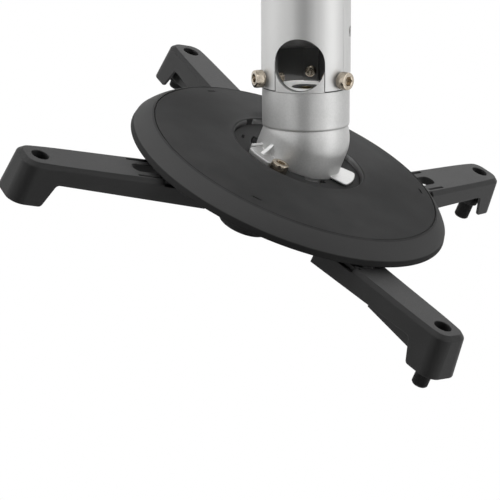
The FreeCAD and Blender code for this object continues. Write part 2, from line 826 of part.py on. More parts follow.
def make_cover_disc():
    body = new_body("cover_disc")
    step = -(d.shell_base + d.step_drop)
    lip, wall = d.lip_radius, d.cover_wall
    crest = (d.crest_radius, -d.crest_drop)
    half = d.groove_width / 2
    groove_in = (d.groove_radius - half, -d.groove_drop)
    groove_low = (d.groove_radius, -(d.groove_drop + d.groove_depth))
    groove_out = (d.groove_radius + half, -d.groove_drop)
    rim = (d.rim_radius, -d.rim_drop)
    crest_edge = crest[0] - lip
    revolve(body, [
        (lip, step), (lip + d.lip_wall, step), (lip + d.lip_wall, crest[1] - wall),
        (d.groove_radius - wall / 2, -d.groove_drop - wall),
        (d.rim_radius - wall, -d.rim_drop - wall / 4),
        (d.skirt_radius - wall, -d.skirt_drop), (d.skirt_radius, -d.skirt_drop),
        rim, groove_out, groove_low, groove_in, crest, (lip, crest[1] - crest_edge)],
        {7: (bulge_radius(groove_out, rim, d.bevel_bulge), True),
         10: (bulge_radius(crest, groove_in, d.dome_bulge), True),
         11: ((crest[0], crest[1] - crest_edge), True)})
    for i in range(THIRDS):
        slot = new_sketch(body, "XY_Plane")
        half = d.clip_width / 2 + d.clip_slot_play
        reach = d.clip_thick / 2 + d.clip_slot_play
        inner, outer = d.clip_distance - reach, d.clip_distance + reach
        azimuth = d.clip_azimuth + TURN / THIRDS * i
        outline(slot, strip(inner, outer, half, azimuth))
        pocket(body, slot, d.skirt_drop)
    notch = new_sketch(body, "XY_Plane")
    half, azimuth = d.lip_notch_width / 2, d.lip_notch_azimuth
    outline(notch, strip(lip - 1, lip + d.lip_wall / 2, half, azimuth))
    pocket(body, notch, d.skirt_drop)
    body.Placement = head_frame


def arm_frame(name):
    """Placement of an arm's own frame: origin at the foot hole, X to the hub."""
    kind, azimuth, swing = ARMS[name]
    tip = d.long_tip if kind == "long" else d.short_tip
    longest = tip - d.slot_margin - d.shoe_fit - d.shoe_length / 2
    reach = (longest - getattr(d, f"{name}_draw")).value
    pivot = turned(azimuth).multVec(Vector(d.pivot_distance.value, 0, 0))
    outwards = turned(azimuth + swing).multVec(Vector(1, 0, 0))
    top = -(d.flange_foot + d.arm_gap).value
    place = pivot + outwards * reach + Vector(0, 0, top)
    facing = Rotation(Vector(0, 0, 1), azimuth + swing + 180)
    return head_frame.multiply(Placement(place, facing))


def arm_section(body, depth, root, inset):
    """Plan of an arm at a depth below its top, inset from its walls, up to its root."""
    share = depth / d.foot_depth
    end = d.arm_end + d.end_flare * share - inset
    end_half = d.arm_end_width / 2 + d.side_flare * share - inset
    root_half = d.arm_root_width / 2 + d.side_flare * share - inset
    corner = d.arm_corner - inset
    sketch = new_sketch(body, "XY_Plane", -depth)
    outline(sketch, [
        (corner - end, -end_half), (root, -root_half), (root, root_half),
        (corner - end, end_half), (-end, end_half - corner), (-end, corner - end_half)],
        {3: ((corner - end, end_half - corner), True),
         5: ((corner - end, corner - end_half), True)})
    return sketch


def make_arm(name):
    kind = ARMS[name][0]
    body = new_body(f"arm_{name}")
    if kind == "long":
        wall_end, shoulder, tip = d.long_wall_end, d.long_shoulder, d.long_tip
    else:
        wall_end, shoulder, tip = d.short_wall_end, d.short_shoulder, d.short_tip
    root_half = d.arm_root_width / 2
    top = arm_section(body, as_size(0), wall_end, as_size(0))
    blend(body, "AdditiveLoft", top, arm_section(body, d.foot_depth, wall_end, as_size(0)))

    under = new_sketch(body, "XZ_Plane", -d.arm_root_width)
    low = -(d.foot_depth + 1)
    outline(under, [
        (d.foot_low_inner, low), (wall_end + d.arm_root_width, low),
        (wall_end + d.arm_root_width, -d.beam_depth_in), (wall_end, -d.beam_depth_in),
        (d.foot_top_inner, -d.beam_depth_out), (d.foot_low_inner, -d.foot_depth)])
    beam = pocket(body, under, d.arm_root_width * 2, forward=True)

    inner = d.foot_top_inner.value
    bends = edges_where(beam, lambda p, t: near(abs(t.y), 1) and (
        (near(p.x, inner) and near(p.z, -d.beam_depth_out.value))
        or (near(p.x, d.foot_low_inner.value) and near(p.z, -d.foot_depth.value))))
    rounded = dress(body, "Fillet", beam, bends, d.foot_fillet)

    for side in (-1, 1):
        step = new_sketch(body, "XY_Plane")
        near_edge, far_edge = root_half - d.shoulder_width, root_half + d.shoulder_width
        outline(step, [(shoulder, side * near_edge), (tip, side * near_edge),
                       (tip, side * far_edge), (shoulder, side * far_edge)])
        stepped = pocket(body, step, d.shoulder_depth)
    limit = shoulder.value
    rim = edges_where(stepped, lambda p, t: near(p.z, 0) and p.x < limit - 1)
    dress(body, "Chamfer", stepped, rim, d.arm_chamfer)

    tongue = new_sketch(body, "XY_Plane")
    half = d.tongue_width / 2
    start = shoulder - d.arm_wall
    outline(tongue, [(start, -half), (tip - half, -half), (tip - half, half),
                     (start, half)], {1: ((tip - half, 0), True)})
    pad(body, tongue, d.arm_plate, down=True)

    ceiling = arm_section(body, d.arm_plate, tip + 1, d.arm_wall)
    below = arm_section(body, d.foot_depth + 1, tip + 1, d.arm_wall)
    blend(body, "SubtractiveLoft", ceiling, below)

    boss = new_sketch(body, "XY_Plane", -d.arm_plate / 2)
    circle(boss, (-d.foot_boss_offset, 0), d.foot_boss_radius)
    pad(body, boss, d.foot_boss_foot - d.arm_plate / 2, down=True)
    if kind == "short":
        for side in (-1, 1):
            rib = new_sketch(body, "XZ_Plane", side * d.rib_offset - d.rib_thick / 2)
            outline(rib, [
                (0, -d.arm_plate / 2), (0, -d.rib_depth_out),
                (d.rib_start, -d.rib_depth_out), (d.rib_end, -d.rib_depth_in),
                (d.rib_end, -d.arm_plate / 2)])
            pad(body, rib, d.rib_thick)
    bore = new_sketch(body, "XY_Plane", -d.arm_plate)
    circle(bore, (-d.foot_boss_offset, 0), d.sleeve_radius + d.sleeve_fit)
    pocket(body, bore, d.foot_depth)
    hole = new_sketch(body, "XY_Plane")
    circle(hole, (0, 0), d.hole_radius)
    pocket(body, hole, d.arm_plate + 1)

    slot = new_sketch(body, "XY_Plane")
    radius = d.shoe_width / 2 + d.shoe_fit
    obround(slot, d.slot_start + radius, tip - d.slot_margin - radius, radius)
    pocket(body, slot, d.arm_plate + 1)
    for side in (-1, 1):
        rail = new_sketch(body, "XY_Plane")
        low_side = side * d.rail_offset - d.rail_width / 2
        high_side = side * d.rail_offset + d.rail_width / 2
        outline(rail, [(d.slot_start, low_side), (shoulder, low_side),
                       (shoulder, high_side), (d.slot_start, high_side)])
        pocket(body, rail, d.rail_depth)
    body.Placement = arm_frame(name)


def make_foot_sleeve(name):
    body = new_body(f"foot_sleeve_{name}")
    bore, radius, edge = d.sleeve_bore, d.sleeve_radius, d.sleeve_chamfer
    foot = -d.sleeve_length
    revolve(body, [
        (bore, 0), (radius - edge, 0), (radius, -edge), (radius, foot + edge),
        (radius - edge, foot), (bore, foot)])
    drop = -(d.arm_plate + d.sleeve_gap + getattr(d, f"{name}_wound")).value
    place = Placement(Vector(-d.foot_boss_offset.value, 0, drop), Rotation())
    body.Placement = arm_frame(name).multiply(place)


def make_arm_clamp(name):
    kind, azimuth, swing = ARMS[name]
    pivot = turned(azimuth).multVec(Vector(d.pivot_distance.value, 0, 0))
    facing = Rotation(Vector(0, 0, 1), azimuth + swing + 180)

    def at(height):
        place = Placement(pivot + Vector(0, 0, height), facing)
        return head_frame.multiply(place)

    bolt = socket_screw(f"pivot_bolt_{name}", d.pivot_length, d.screw_head_height)
    bolt.Placement = at(-d.flange_top.value)
    shoe = new_body(f"guide_shoe_{name}")
    neck = d.arm_gap * 2 + d.arm_plate
    guide = new_sketch(shoe, "XY_Plane")
    straight = (d.shoe_length - d.shoe_width) / 2
    obround(guide, -straight, straight, d.shoe_width / 2)
    pad(shoe, guide, neck, down=True)
    flange = new_sketch(shoe, "XY_Plane", -neck)
    half = d.shoe_flange / 2
    outline(flange, [(-half, -half), (half, -half), (half, half), (-half, half)])
    pad(shoe, flange, d.shoe_flange_thick, down=True)
    hole = new_sketch(shoe, "XY_Plane")
    circle(hole, (0, 0), d.screw_radius + d.thread_fit)
    pocket(shoe, hole, neck + d.shoe_flange_thick + 1)
    shoe.Placement = at(-d.flange_foot.value)
    lock = nut(f"pivot_nut_{name}", d.pivot_nut_flats, d.pivot_nut_height,
               d.screw_radius + d.thread_fit)
    seat = d.flange_foot + neck + d.shoe_flange_thick + d.pivot_nut_height
    lock.Placement = at(-seat.value)


make_ceiling_plate()
make_ceiling_tube()
make_tube_screws()
make_joint_collar()
make_ball_bolt()
make_bolt_washer()
make_pressure_cup()
make_cup_nut()
make_seat_ring()
make_ball_shell()
make_lock_screw()
make_hub_plate()
make_cover_disc()
for arm_name in ARMS:
    make_arm(arm_name)
    make_foot_sleeve(arm_name)
    make_arm_clamp(arm_name)
doc.recompute()

failed = [item.Name for item in doc.Objects
          if "Invalid" in item.State or "Error" in item.State]
if failed:
    raise RuntimeError(f"did not compute: {failed}")
os.makedirs("parts", exist_ok=True)
for node in NODES:
    if node.Shape.isNull() or not node.Shape.isValid():
        raise RuntimeError(f"{node.Label} has no valid shape")
for node in NODES:
    node.Shape.exportStep(f"parts/{node.Label}.step")
    print(f"{node.Label}: {len(node.Shape.Solids)} solid, {node.Shape.Volume:.0f} mm3")
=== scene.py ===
"""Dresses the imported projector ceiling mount: surfaces, finishes, stage and camera.

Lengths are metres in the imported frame: Z is up along the tube, and the origin is on the
ceiling plate's top face. Profiles of turned pieces are millimetres until make_piece turns
them into metres. The head frame has its origin at the ball's centre and its Z along the
cover disc's axis. Angles in named values are degrees.
"""
import json
import math

import bmesh
import bpy
import numpy as np
from mathutils import Euler, Matrix, Vector

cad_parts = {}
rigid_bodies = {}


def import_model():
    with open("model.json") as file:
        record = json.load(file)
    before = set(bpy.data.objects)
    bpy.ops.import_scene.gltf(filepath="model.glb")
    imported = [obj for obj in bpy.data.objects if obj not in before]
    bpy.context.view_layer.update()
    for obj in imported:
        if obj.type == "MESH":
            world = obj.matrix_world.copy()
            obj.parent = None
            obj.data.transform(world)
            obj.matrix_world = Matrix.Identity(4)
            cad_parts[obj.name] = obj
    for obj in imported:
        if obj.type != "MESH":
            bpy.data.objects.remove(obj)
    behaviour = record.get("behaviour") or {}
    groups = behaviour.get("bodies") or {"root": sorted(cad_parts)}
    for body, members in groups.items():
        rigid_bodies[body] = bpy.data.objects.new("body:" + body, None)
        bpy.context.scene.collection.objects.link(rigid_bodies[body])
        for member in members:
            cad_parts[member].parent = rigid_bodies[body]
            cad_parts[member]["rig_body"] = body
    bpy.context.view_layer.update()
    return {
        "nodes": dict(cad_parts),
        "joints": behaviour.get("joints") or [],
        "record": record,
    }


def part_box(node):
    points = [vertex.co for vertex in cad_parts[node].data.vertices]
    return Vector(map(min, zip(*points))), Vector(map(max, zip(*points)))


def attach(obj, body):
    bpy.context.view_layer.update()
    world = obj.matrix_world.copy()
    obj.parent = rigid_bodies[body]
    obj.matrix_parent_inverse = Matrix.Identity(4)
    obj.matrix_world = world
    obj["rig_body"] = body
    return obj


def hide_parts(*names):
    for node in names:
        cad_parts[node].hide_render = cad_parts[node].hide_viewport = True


bl_info = {
    "name": "Projector ceiling mount",
    "version": (1, 0, 0),
    "blender": (4, 5, 0),
    "location": "View3D > Sidebar > Mount",
    "description": "Surfaces, finishes, light and camera for a ceiling mount",
    "category": "Object",
}

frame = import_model()
JOINTS = {joint["name"]: joint for joint in frame["joints"]}
MOUNTS = {mount["name"]: mount for mount in frame["record"]["mounts"]}
SIDES = ("left", "front", "right", "back")
BALL_CENTRE = Vector(JOINTS["ball_swivel"]["pos_m"])
UPWARD = Vector((0, 0, 1))
MM = 0.001
TURN = 2 * math.pi
FINISHES = {}


# Places

def framed(point, across, level, axis):
    """Frame at a point whose X, Y and Z lie along three directions."""
    turn = Matrix((across, level, axis)).transposed().to_4x4()
    return Matrix.Translation(point) @ turn


def placed(point, axis, across):
    """Frame at a point with Z along axis and X near across."""
    axis = Vector(axis).normalized()
    side = axis.cross(Vector(across)).normalized()
    return framed(point, side.cross(axis), side, axis)


def head_matrix():
    """Ball centre, X down the slope, Y level and Z along the disc's axis."""
    axis = Vector(JOINTS["head_spin"]["axis"])
    level = Vector(JOINTS["ball_tilt"]["axis"])
    return framed(JOINTS["head_spin"]["pos_m"], level.cross(axis), level, axis)


# Surfaces: merges are distances, and creases, flats and corners are angles

SURFACE_MERGE = 1e-7
SURFACE_CREASE = 38.0
COPY_MERGE = 2e-6
COPY_FLAT = 0.5
COPY_CORNER = 28.0
COPY_CREASE = 50.0
COPY_SEGMENTS = 2
CAD_LAYERS = ("custom_normal", "sharp_face", "sharp_edge")


def rounded(corners, steps=5):
    """Closed profile through corners that each hold a point and a radius. At a corner
    with a radius, an arc touches both sides at radius / tan(half the corner's angle)
    from it."""
    points = []
    places = np.array([point for point, radius in corners], float)
    for here, before, after, (point, radius) in zip(
            places, np.roll(places, 1, 0), np.roll(places, -1, 0), corners):
        if not radius:
            points.append(here[None])
            continue
        back = (before - here) / np.linalg.norm(before - here)
        ahead = (after - here) / np.linalg.norm(after - here)
        half = math.acos(np.clip(back @ ahead, -1, 1)) / 2
        middle = (back + ahead) / np.linalg.norm(back + ahead)
        centre = here + middle * (radius / math.sin(half))
        start = here + back * radius / math.tan(half) - centre
        end = here + ahead * radius / math.tan(half) - centre
        turn = math.pi - 2 * half
        k = np.linspace(0, 1, steps + 1)[:, None]
        arc = (np.sin((1 - k) * turn) * start + np.sin(k * turn) * end) / math.sin(turn)
        points.append(centre + arc)
    return np.concatenate(points)


def bowed(start, end, bulge, radii):
    """Points at the given radii on the parabola from start to end that rises by bulge in
    its middle."""
    radii = np.asarray(radii, float)
    share = (radii - start[0]) / (end[0] - start[0])
    height = start[1] + (end[1] - start[1]) * share + 4 * bulge * share * (1 - share)
    return np.stack([radii, height], 1)


def full_turn(count):
    """Azimuths that share a turn evenly, from 0."""
    return np.linspace(0, TURN, count + 1)[:-1]


def stacked(rows, azimuth):
    """Radius grid and height column from rows that each hold a radius, one number or one
    for each azimuth, and a height."""
    radius = np.stack([np.broadcast_to(radius, azimuth.shape) for radius, height in rows])
    return radius, np.array([[height] for radius, height in rows])


def turned_grid(radius, height, azimuth):
    """Points at (radius cos a, radius sin a, height): rows follow the profile and columns
    the azimuth a. The height is a column or a whole grid."""
    height = np.broadcast_to(height, radius.shape)
    return np.stack([radius * np.cos(azimuth), radius * np.sin(azimuth), height], 2)


def grid_faces(rows, columns, closed_rows):
    """Quads between neighbouring rows and columns. Columns always close on themselves."""
    row = np.arange(rows if closed_rows else rows - 1)[:, None]
    column = np.arange(columns)[None]
    below = row * columns
    above = (row + 1) % rows * columns
    following = (column + 1) % columns
    quads = np.stack(np.broadcast_arrays(
        below + column, below + following, above + following, above + column), 2)
    return quads.reshape(-1, 4).tolist()


def add_object(name, data):
    """Object of the data at the origin of the scene."""
    item = bpy.data.objects.new(name, data)
    bpy.context.scene.collection.objects.link(item)
    return item


def shade_smooth(mesh, crease):
    """Smooth shading that breaks at edges sharper than crease."""
    mesh.polygons.foreach_set("use_smooth", np.ones(len(mesh.polygons), bool))
    mesh.set_sharp_from_angle(angle=math.radians(crease))


def make_piece(name, points, faces, matrix, body, finish):
    """Mesh object at the origin from points in millimetres in the frame of matrix."""
    mesh = bpy.data.meshes.new(name)
    mesh.from_pydata((points * MM).tolist(), [], faces)
    mesh.transform(matrix)
    mesh.validate()
    work = bmesh.new()
    work.from_mesh(mesh)
    bmesh.ops.remove_doubles(work, verts=work.verts, dist=SURFACE_MERGE)
    bmesh.ops.recalc_face_normals(work, faces=work.faces)
    work.to_mesh(mesh)
    work.free()
    shade_smooth(mesh, SURFACE_CREASE)
    piece = add_object(name, mesh)
    mesh.materials.append(FINISHES[finish])
    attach(piece, body)
    return piece


def closed_ring(name, radius, height, azimuth, matrix, body, finish):
    """Ring whose profile closes on itself."""
    grid = turned_grid(radius, height, azimuth)
    faces = grid_faces(*radius.shape, True)
    return make_piece(name, grid.reshape(-1, 3), faces, matrix, body, finish)


def capped_turning(name, radius, height, azimuth, matrix, body, finish):
    """Solid whose profile starts and ends on the axis, with a fan of faces at each end."""
    grid = turned_grid(radius, height, azimuth)
    rows, columns = radius.shape
    ends = np.array([[0, 0, grid[0, :, 2].mean()], [0, 0, grid[-1, :, 2].mean()]])
    column = np.arange(columns)
    following = (column + 1) % columns
    first_centre = rows * columns
    last_row = first_centre - columns
    start = np.stack([np.full(columns, first_centre), following, column], 1)
    end = np.stack([np.full(columns, first_centre + 1), last_row + column,
                    last_row + following], 1)
    points = np.concatenate([grid.reshape(-1, 3), ends])
    faces = grid_faces(rows, columns, False) + start.tolist() + end.tolist()
    return make_piece(name, points, faces, matrix, body, finish)


def soft_copy(node, finish, width):
    """Copy of a CAD solid with its triangles joined and its edges rounded by width."""
    mesh = frame["nodes"][node].data.copy()
    mesh.materials.clear()
    work = bmesh.new()
    work.from_mesh(mesh)
    bmesh.ops.remove_doubles(work, verts=work.verts, dist=COPY_MERGE)
    bmesh.ops.dissolve_limit(work, angle_limit=math.radians(COPY_FLAT),
                             verts=work.verts, edges=work.edges)
    work.to_mesh(mesh)
    work.free()
    for layer in CAD_LAYERS:
        if layer in mesh.attributes:
            mesh.attributes.remove(mesh.attributes[layer])
    piece = add_object(f"{node}_soft", mesh)
    bevel = piece.modifiers.new("edges", "BEVEL")
    bevel.width = width
    bevel.segments = COPY_SEGMENTS
    bevel.limit_method = "ANGLE"
    bevel.angle_limit = math.radians(COPY_CORNER)
    bevel.use_clamp_overlap = False
    seen = piece.evaluated_get(bpy.context.evaluated_depsgraph_get())
    piece.data = bpy.data.meshes.new_from_object(seen)
    piece.data.name = f"{node}_soft"
    piece.modifiers.clear()
    shade_smooth(piece.data, COPY_CREASE)
    piece.data.materials.append(FINISHES[finish])
    piece.modifiers.new("shade", "WEIGHTED_NORMAL").keep_sharp = True
    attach(piece, frame["nodes"][node]["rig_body"])
    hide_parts(node)
    return piece


# Shading, with the numbers of the Mix node's colour sockets

MIX_COLOURS = (6, 7)
MIX_RESULT = 2


class Value:
    """A number that varies over a surface, with arithmetic."""

    def __init__(self, graph, socket):
        self.graph = graph
        self.socket = socket

    def __add__(self, other):
        return self.graph.maths("ADD", self, other)

    __radd__ = __add__

    def __sub__(self, other):
        return self.graph.maths("SUBTRACT", self, other)

    def __rsub__(self, other):
        return self.graph.maths("SUBTRACT", other, self)

    def __mul__(self, other):
        return self.graph.maths("MULTIPLY", self, other)

    __rmul__ = __mul__

    def clipped(self):
        """The value kept between 0 and 1."""
        return self.graph.maths("MINIMUM", self.graph.maths("MAXIMUM", self, 0.0), 1.0)


class Graph:
    """Node tree of one finish, or of the world."""

    def __init__(self, name, world=None):
        self.material = world or bpy.data.materials.new(name)
        self.material.use_nodes = True
        self.tree = self.material.node_tree
        self.tree.nodes.clear()
        self.place = self.add("ShaderNodeTexCoord").outputs["Object"]

    def add(self, kind, settings=None, sockets=None):
        """Node of a kind. Settings come first, then the values or links of sockets."""
        node = self.tree.nodes.new(kind)
        for setting, value in (settings or {}).items():
            setattr(node, setting, value)
        for name, value in (sockets or {}).items():
            socket = node.inputs[name]
            if isinstance(value, Value):
                self.tree.links.new(value.socket, socket)
            elif isinstance(value, bpy.types.NodeSocket):
                self.tree.links.new(value, socket)
            else:
                socket.default_value = value
        return node

    def maths(self, operation, first, second):
        """Value of a Math node's operation on two values or numbers."""
        node = self.add("ShaderNodeMath", {"operation": operation}, {0: first, 1: second})
        return Value(self, node.outputs[0])

    def coordinates(self):
        """The three object coordinates as values."""
        split = self.add("ShaderNodeSeparateXYZ", None, {"Vector": self.place})
        return [Value(self, split.outputs[axis]) for axis in "XYZ"]

    def stretched(self, scale):
        """Object coordinates multiplied by a scale on each axis."""
        node = self.add("ShaderNodeMapping", {"vector_type": "POINT"},
                        {"Vector": self.place, "Scale": scale})
        return node.outputs["Vector"]

    def noise(self, size, detail=2.0, roughness=0.5, along=None):
        """Noise from 0 to 1 with patches of a size."""
        place = self.place if along is None else self.stretched(along)
        node = self.add("ShaderNodeTexNoise", {"noise_dimensions": "3D"}, {
            "Vector": place, "Scale": 1 / size, "Detail": detail, "Roughness": roughness})
        return Value(self, node.outputs["Fac"])

    def cells(self, size):
        """Distance from the middle of each grain of a size, 0 at the middle."""
        node = self.add("ShaderNodeTexVoronoi", {"feature": "F1"}, {
            "Vector": self.place, "Scale": 1 / size})
        return Value(self, node.outputs["Distance"])

    def turned(self, axis, origin):
        """Height along an axis from a point, and the squared distance from that axis:
        h = axis . p and r2 = p . p - h h, where p = place - origin."""
        from_origin = self.add("ShaderNodeVectorMath", {"operation": "SUBTRACT"},
                               {0: self.place, 1: origin}).outputs["Vector"]
        along, square = (
            Value(self, self.add("ShaderNodeVectorMath", {"operation": "DOT_PRODUCT"},
                                 {0: from_origin, 1: other}).outputs["Value"])
            for other in (axis, from_origin))
        return along, square - along * along

    def band(self, value, low, high):
        """0 below low, 1 above high and even between."""
        return ((value - low) * (1 / (high - low))).clipped()

    def past(self, value, limit, step):
        """0 up to a limit and 1 from a step past it."""
        return self.band(value, limit, limit + step)

    def outside(self, square, radius, step):
        """0 up to a radius and 1 from a step past it, from the squared distance."""
        return self.band(square, radius ** 2, (radius + step) ** 2)

    def blend(self, share, first, second):
        """Colour that goes from the first to the second with share."""
        node = self.add("ShaderNodeMix", {"data_type": "RGBA"}, {0: share})
        for index, colour in zip(MIX_COLOURS, (first, second)):
            if isinstance(colour, bpy.types.NodeSocket):
                self.tree.links.new(colour, node.inputs[index])
            else:
                node.inputs[index].default_value = (*colour, 1)
        return node.outputs[MIX_RESULT]

    def mottled(self, value, limits, colour, shares):
        """Colour in two shares of itself, changing where a value crosses the limits."""
        return self.blend(self.band(value, *limits),
                          *(shaded(colour, share) for share in shares))

    def bump(self, height, depth):
        """Normal of a surface raised by height times depth."""
        sockets = {"Height": height, "Distance": depth, "Strength": 1.0}
        return self.add("ShaderNodeBump", None, sockets).outputs["Normal"]

    def surface(self, **sockets):
        """Principled surface as the material's output."""
        names = {name.replace("_", " "): value for name, value in sockets.items()}
        shader = self.add("ShaderNodeBsdfPrincipled", None, names)
        self.add("ShaderNodeOutputMaterial", None, {"Surface": shader.outputs["BSDF"]})
        return self.material


def shaded(colour, share):
    """Share of a colour, with no channel above 1."""
    return tuple(min(channel * share, 1.0) for channel in colour)


# Finishes: sizes of grain, depths of relief, shares of the finish's own colour, least
# roughness as gloss, and what each pattern adds to it

CLOUD_LIMITS = (0.3, 0.7)
GRAIN_LIMITS = (0.5, 0.9)
PATCH_LIMITS = (0.45, 0.7)
METAL_STEP = 0.2 * MM
PLASTIC_STEP = 0.1 * MM

PAINT_FLAKE = 0.35 * MM
PAINT_GRAIN = 0.4 * MM
PAINT_CLOUD = 30.0 * MM
PAINT_RELIEF = 0.012 * MM
PAINT_SHARES = (0.95, 1.04)
PAINT_METAL = 0.82
PAINT_GLOSS = 0.36
FLAKE_ROUGHNESS = 0.1
CLOUD_ROUGHNESS = 0.04
ALONG_TUBE = (1, 1, 0.4)
JOINT_LINE = 0.6 * MM
JOINT_SHARE = 0.08

CAST_GRAIN = 1.1 * MM
CAST_CLOUD = 12.0 * MM
CAST_RELIEF = 0.04 * MM
CAST_SHARES = (0.9, 1.06)
CAST_CLOUD_SHARE = 0.4
CAST_METAL = 0.8
CAST_GLOSS = 0.36
CAST_ROUGHNESS = 0.1

# Inside the collar, from the axis and up from the ball's centre
BORE_RADIUS = 22.6 * MM
BORE_FOOT = 22.7 * MM
LEDGE_RADIUS = 7.9 * MM
LEDGE_LOW = 28.7 * MM
LEDGE_HIGH = 29.1 * MM
BORE_SHARE = 0.2
BORE_DULLING = 0.6

STEEL_PATCH = 2.0 * MM
STEEL_SCRATCH = 0.6 * MM
STEEL_RELIEF = 0.008 * MM
STEEL_SHARE = 0.82
PATCH_ROUGHNESS = 0.12
SCRATCH_ROUGHNESS = 0.06
ROUND_TUBE = (1, 1, 6)

PLASTIC_CLOUD = 20.0 * MM
PLASTIC_RELIEF = 0.03 * MM
PLASTIC_SHARES = (0.9, 1.12)
GRAIN_ROUGHNESS = 0.08
HAZE_ROUGHNESS = 0.06
FINE_GRAIN_SIZE = 0.6
FINE_GRAIN_SHARE = 0.5

# Painted light on the cover disc. Lowest and highest in the head frame, widest, and share:
# bevel lighter as painted sheen, skirt darker as painted shade, lip's wall lighter to paint
# out its shade
DISC_PAINTED_LIGHT_BANDS = ((-22.9 * MM, -15.6 * MM, 100.0 * MM, 1.35),
              (-30.0 * MM, -23.4 * MM, 100.0 * MM, 0.5),
              (-13.6 * MM, -10.0 * MM, 39.3 * MM, 3.0))


def silver_paint(name, colour, foot):
    """Satin metallic paint: fine flake, a faint unevenness along the tube and a dark
    joint line just above the height of the tube's foot."""
    graph = Graph(name)
    height = graph.coordinates()[2]
    joint = 1 - graph.past(height, foot + JOINT_LINE, METAL_STEP)
    flake = graph.cells(PAINT_FLAKE)
    cloud = graph.noise(PAINT_CLOUD, detail=3.0, along=ALONG_TUBE)
    tint = graph.mottled(cloud, CLOUD_LIMITS, colour, PAINT_SHARES)
    tint = graph.blend(joint, tint, shaded(colour, JOINT_SHARE))
    return graph.surface(
        Base_Color=tint, Metallic=PAINT_METAL,
        Roughness=PAINT_GLOSS + FLAKE_ROUGHNESS * flake + CLOUD_ROUGHNESS * cloud,
        Normal=graph.bump(graph.noise(PAINT_GRAIN), PAINT_RELIEF))


def cast_grain(graph, colour):
    """Grain of a blasted casting, and its colour, slightly darker in the hollows."""
    grain = graph.noise(CAST_GRAIN, detail=4.0, roughness=0.7)
    cloud = graph.noise(CAST_CLOUD)
    return grain, graph.mottled(CAST_CLOUD_SHARE * cloud + grain, GRAIN_LIMITS, colour,
                                CAST_SHARES)


def cast_metal(name, colour):
    """Blasted casting: matt, with a fine even grain."""
    graph = Graph(name)
    grain, tint = cast_grain(graph, colour)
    return graph.surface(
        Base_Color=tint, Metallic=CAST_METAL,
        Roughness=CAST_GLOSS + CAST_ROUGHNESS * grain,
        Normal=graph.bump(grain, CAST_RELIEF))


def collar_metal(name, colour, ledge):
    """Cast metal outside, dark inside the spigot, and a pale, non-metallic ledge round the
    bolt: a pale face that is also a painted highlight for the brightly lit ledge.
    """
    graph = Graph(name)
    x, y, z = graph.coordinates()
    square = x * x + y * y
    height = z - BALL_CENTRE.z
    inside = 1 - graph.outside(square, BORE_RADIUS, METAL_STEP)
    # Painted highlight: the ledge is pale and not metallic so that it shows as bright as the
    # lit ledge.
    painted_ledge_highlight = (inside * (1 - graph.past(height, LEDGE_HIGH, METAL_STEP))
                * graph.past(height, LEDGE_LOW, METAL_STEP)
                * graph.outside(square, LEDGE_RADIUS, METAL_STEP))
    dark = inside * (1 - painted_ledge_highlight) * graph.past(height, BORE_FOOT, METAL_STEP)
    grain, tint = cast_grain(graph, colour)
    tint = graph.blend(dark, tint, shaded(colour, BORE_SHARE))
    tint = graph.blend(painted_ledge_highlight, tint, ledge)
    return graph.surface(
        Base_Color=tint, Metallic=CAST_METAL * (1 - painted_ledge_highlight) * (1 - BORE_DULLING * dark),
        Roughness=CAST_GLOSS + CAST_ROUGHNESS * grain,
        Normal=graph.bump(grain, CAST_RELIEF))


def plated_steel(name, colour, gloss):
    """Plated screw steel: fine turning marks and small dull patches."""
    graph = Graph(name)
    patch = graph.band(graph.noise(STEEL_PATCH, detail=4.0), *PATCH_LIMITS)
    scratch = graph.noise(STEEL_SCRATCH, along=ROUND_TUBE)
    tint = graph.blend(patch, colour, shaded(colour, STEEL_SHARE))
    return graph.surface(
        Base_Color=tint, Metallic=1.0,
        Roughness=gloss + PATCH_ROUGHNESS * patch + SCRATCH_ROUGHNESS * scratch,
        Normal=graph.bump(scratch, STEEL_RELIEF))


def head_band(graph, low, high, radius):
    """1 between two heights and inside a radius of the head frame, and 0 past them."""
    spin = JOINTS["head_spin"]
    height, square = graph.turned(spin["axis"], spin["pos_m"])
    return (graph.past(height, low - PLASTIC_STEP, PLASTIC_STEP)
            * (1 - graph.past(height, high, PLASTIC_STEP))
            * (1 - graph.outside(square, radius, PLASTIC_STEP)))


def moulded_plastic(name, colour, grain_size, gloss, sheen, painted_light_bands=()):
    """Spark-textured moulding: round grain, with a slightly uneven gloss. Each band of the
    head frame has its own share of the colour as painted light: lighter for painted sheen,
    darker for painted shade."""
    graph = Graph(name)
    grain = graph.cells(grain_size)
    haze = graph.noise(PLASTIC_CLOUD, detail=3.0)
    tint = graph.mottled(haze, CLOUD_LIMITS, colour, PLASTIC_SHARES)
    # Painted light: each band lightens or darkens the colour where the lamps leave too little
    # sheen or shade.
    for *band, share in painted_light_bands:
        tint = graph.blend(head_band(graph, *band), tint, shaded(colour, share))
    relief = grain + FINE_GRAIN_SHARE * graph.noise(grain_size * FINE_GRAIN_SIZE)
    return graph.surface(
        Base_Color=tint, Metallic=0.0, Specular_IOR_Level=sheen,
        Roughness=gloss + GRAIN_ROUGHNESS * grain + HAZE_ROUGHNESS * haze,
        Normal=graph.bump(relief, PLASTIC_RELIEF))


# Settings

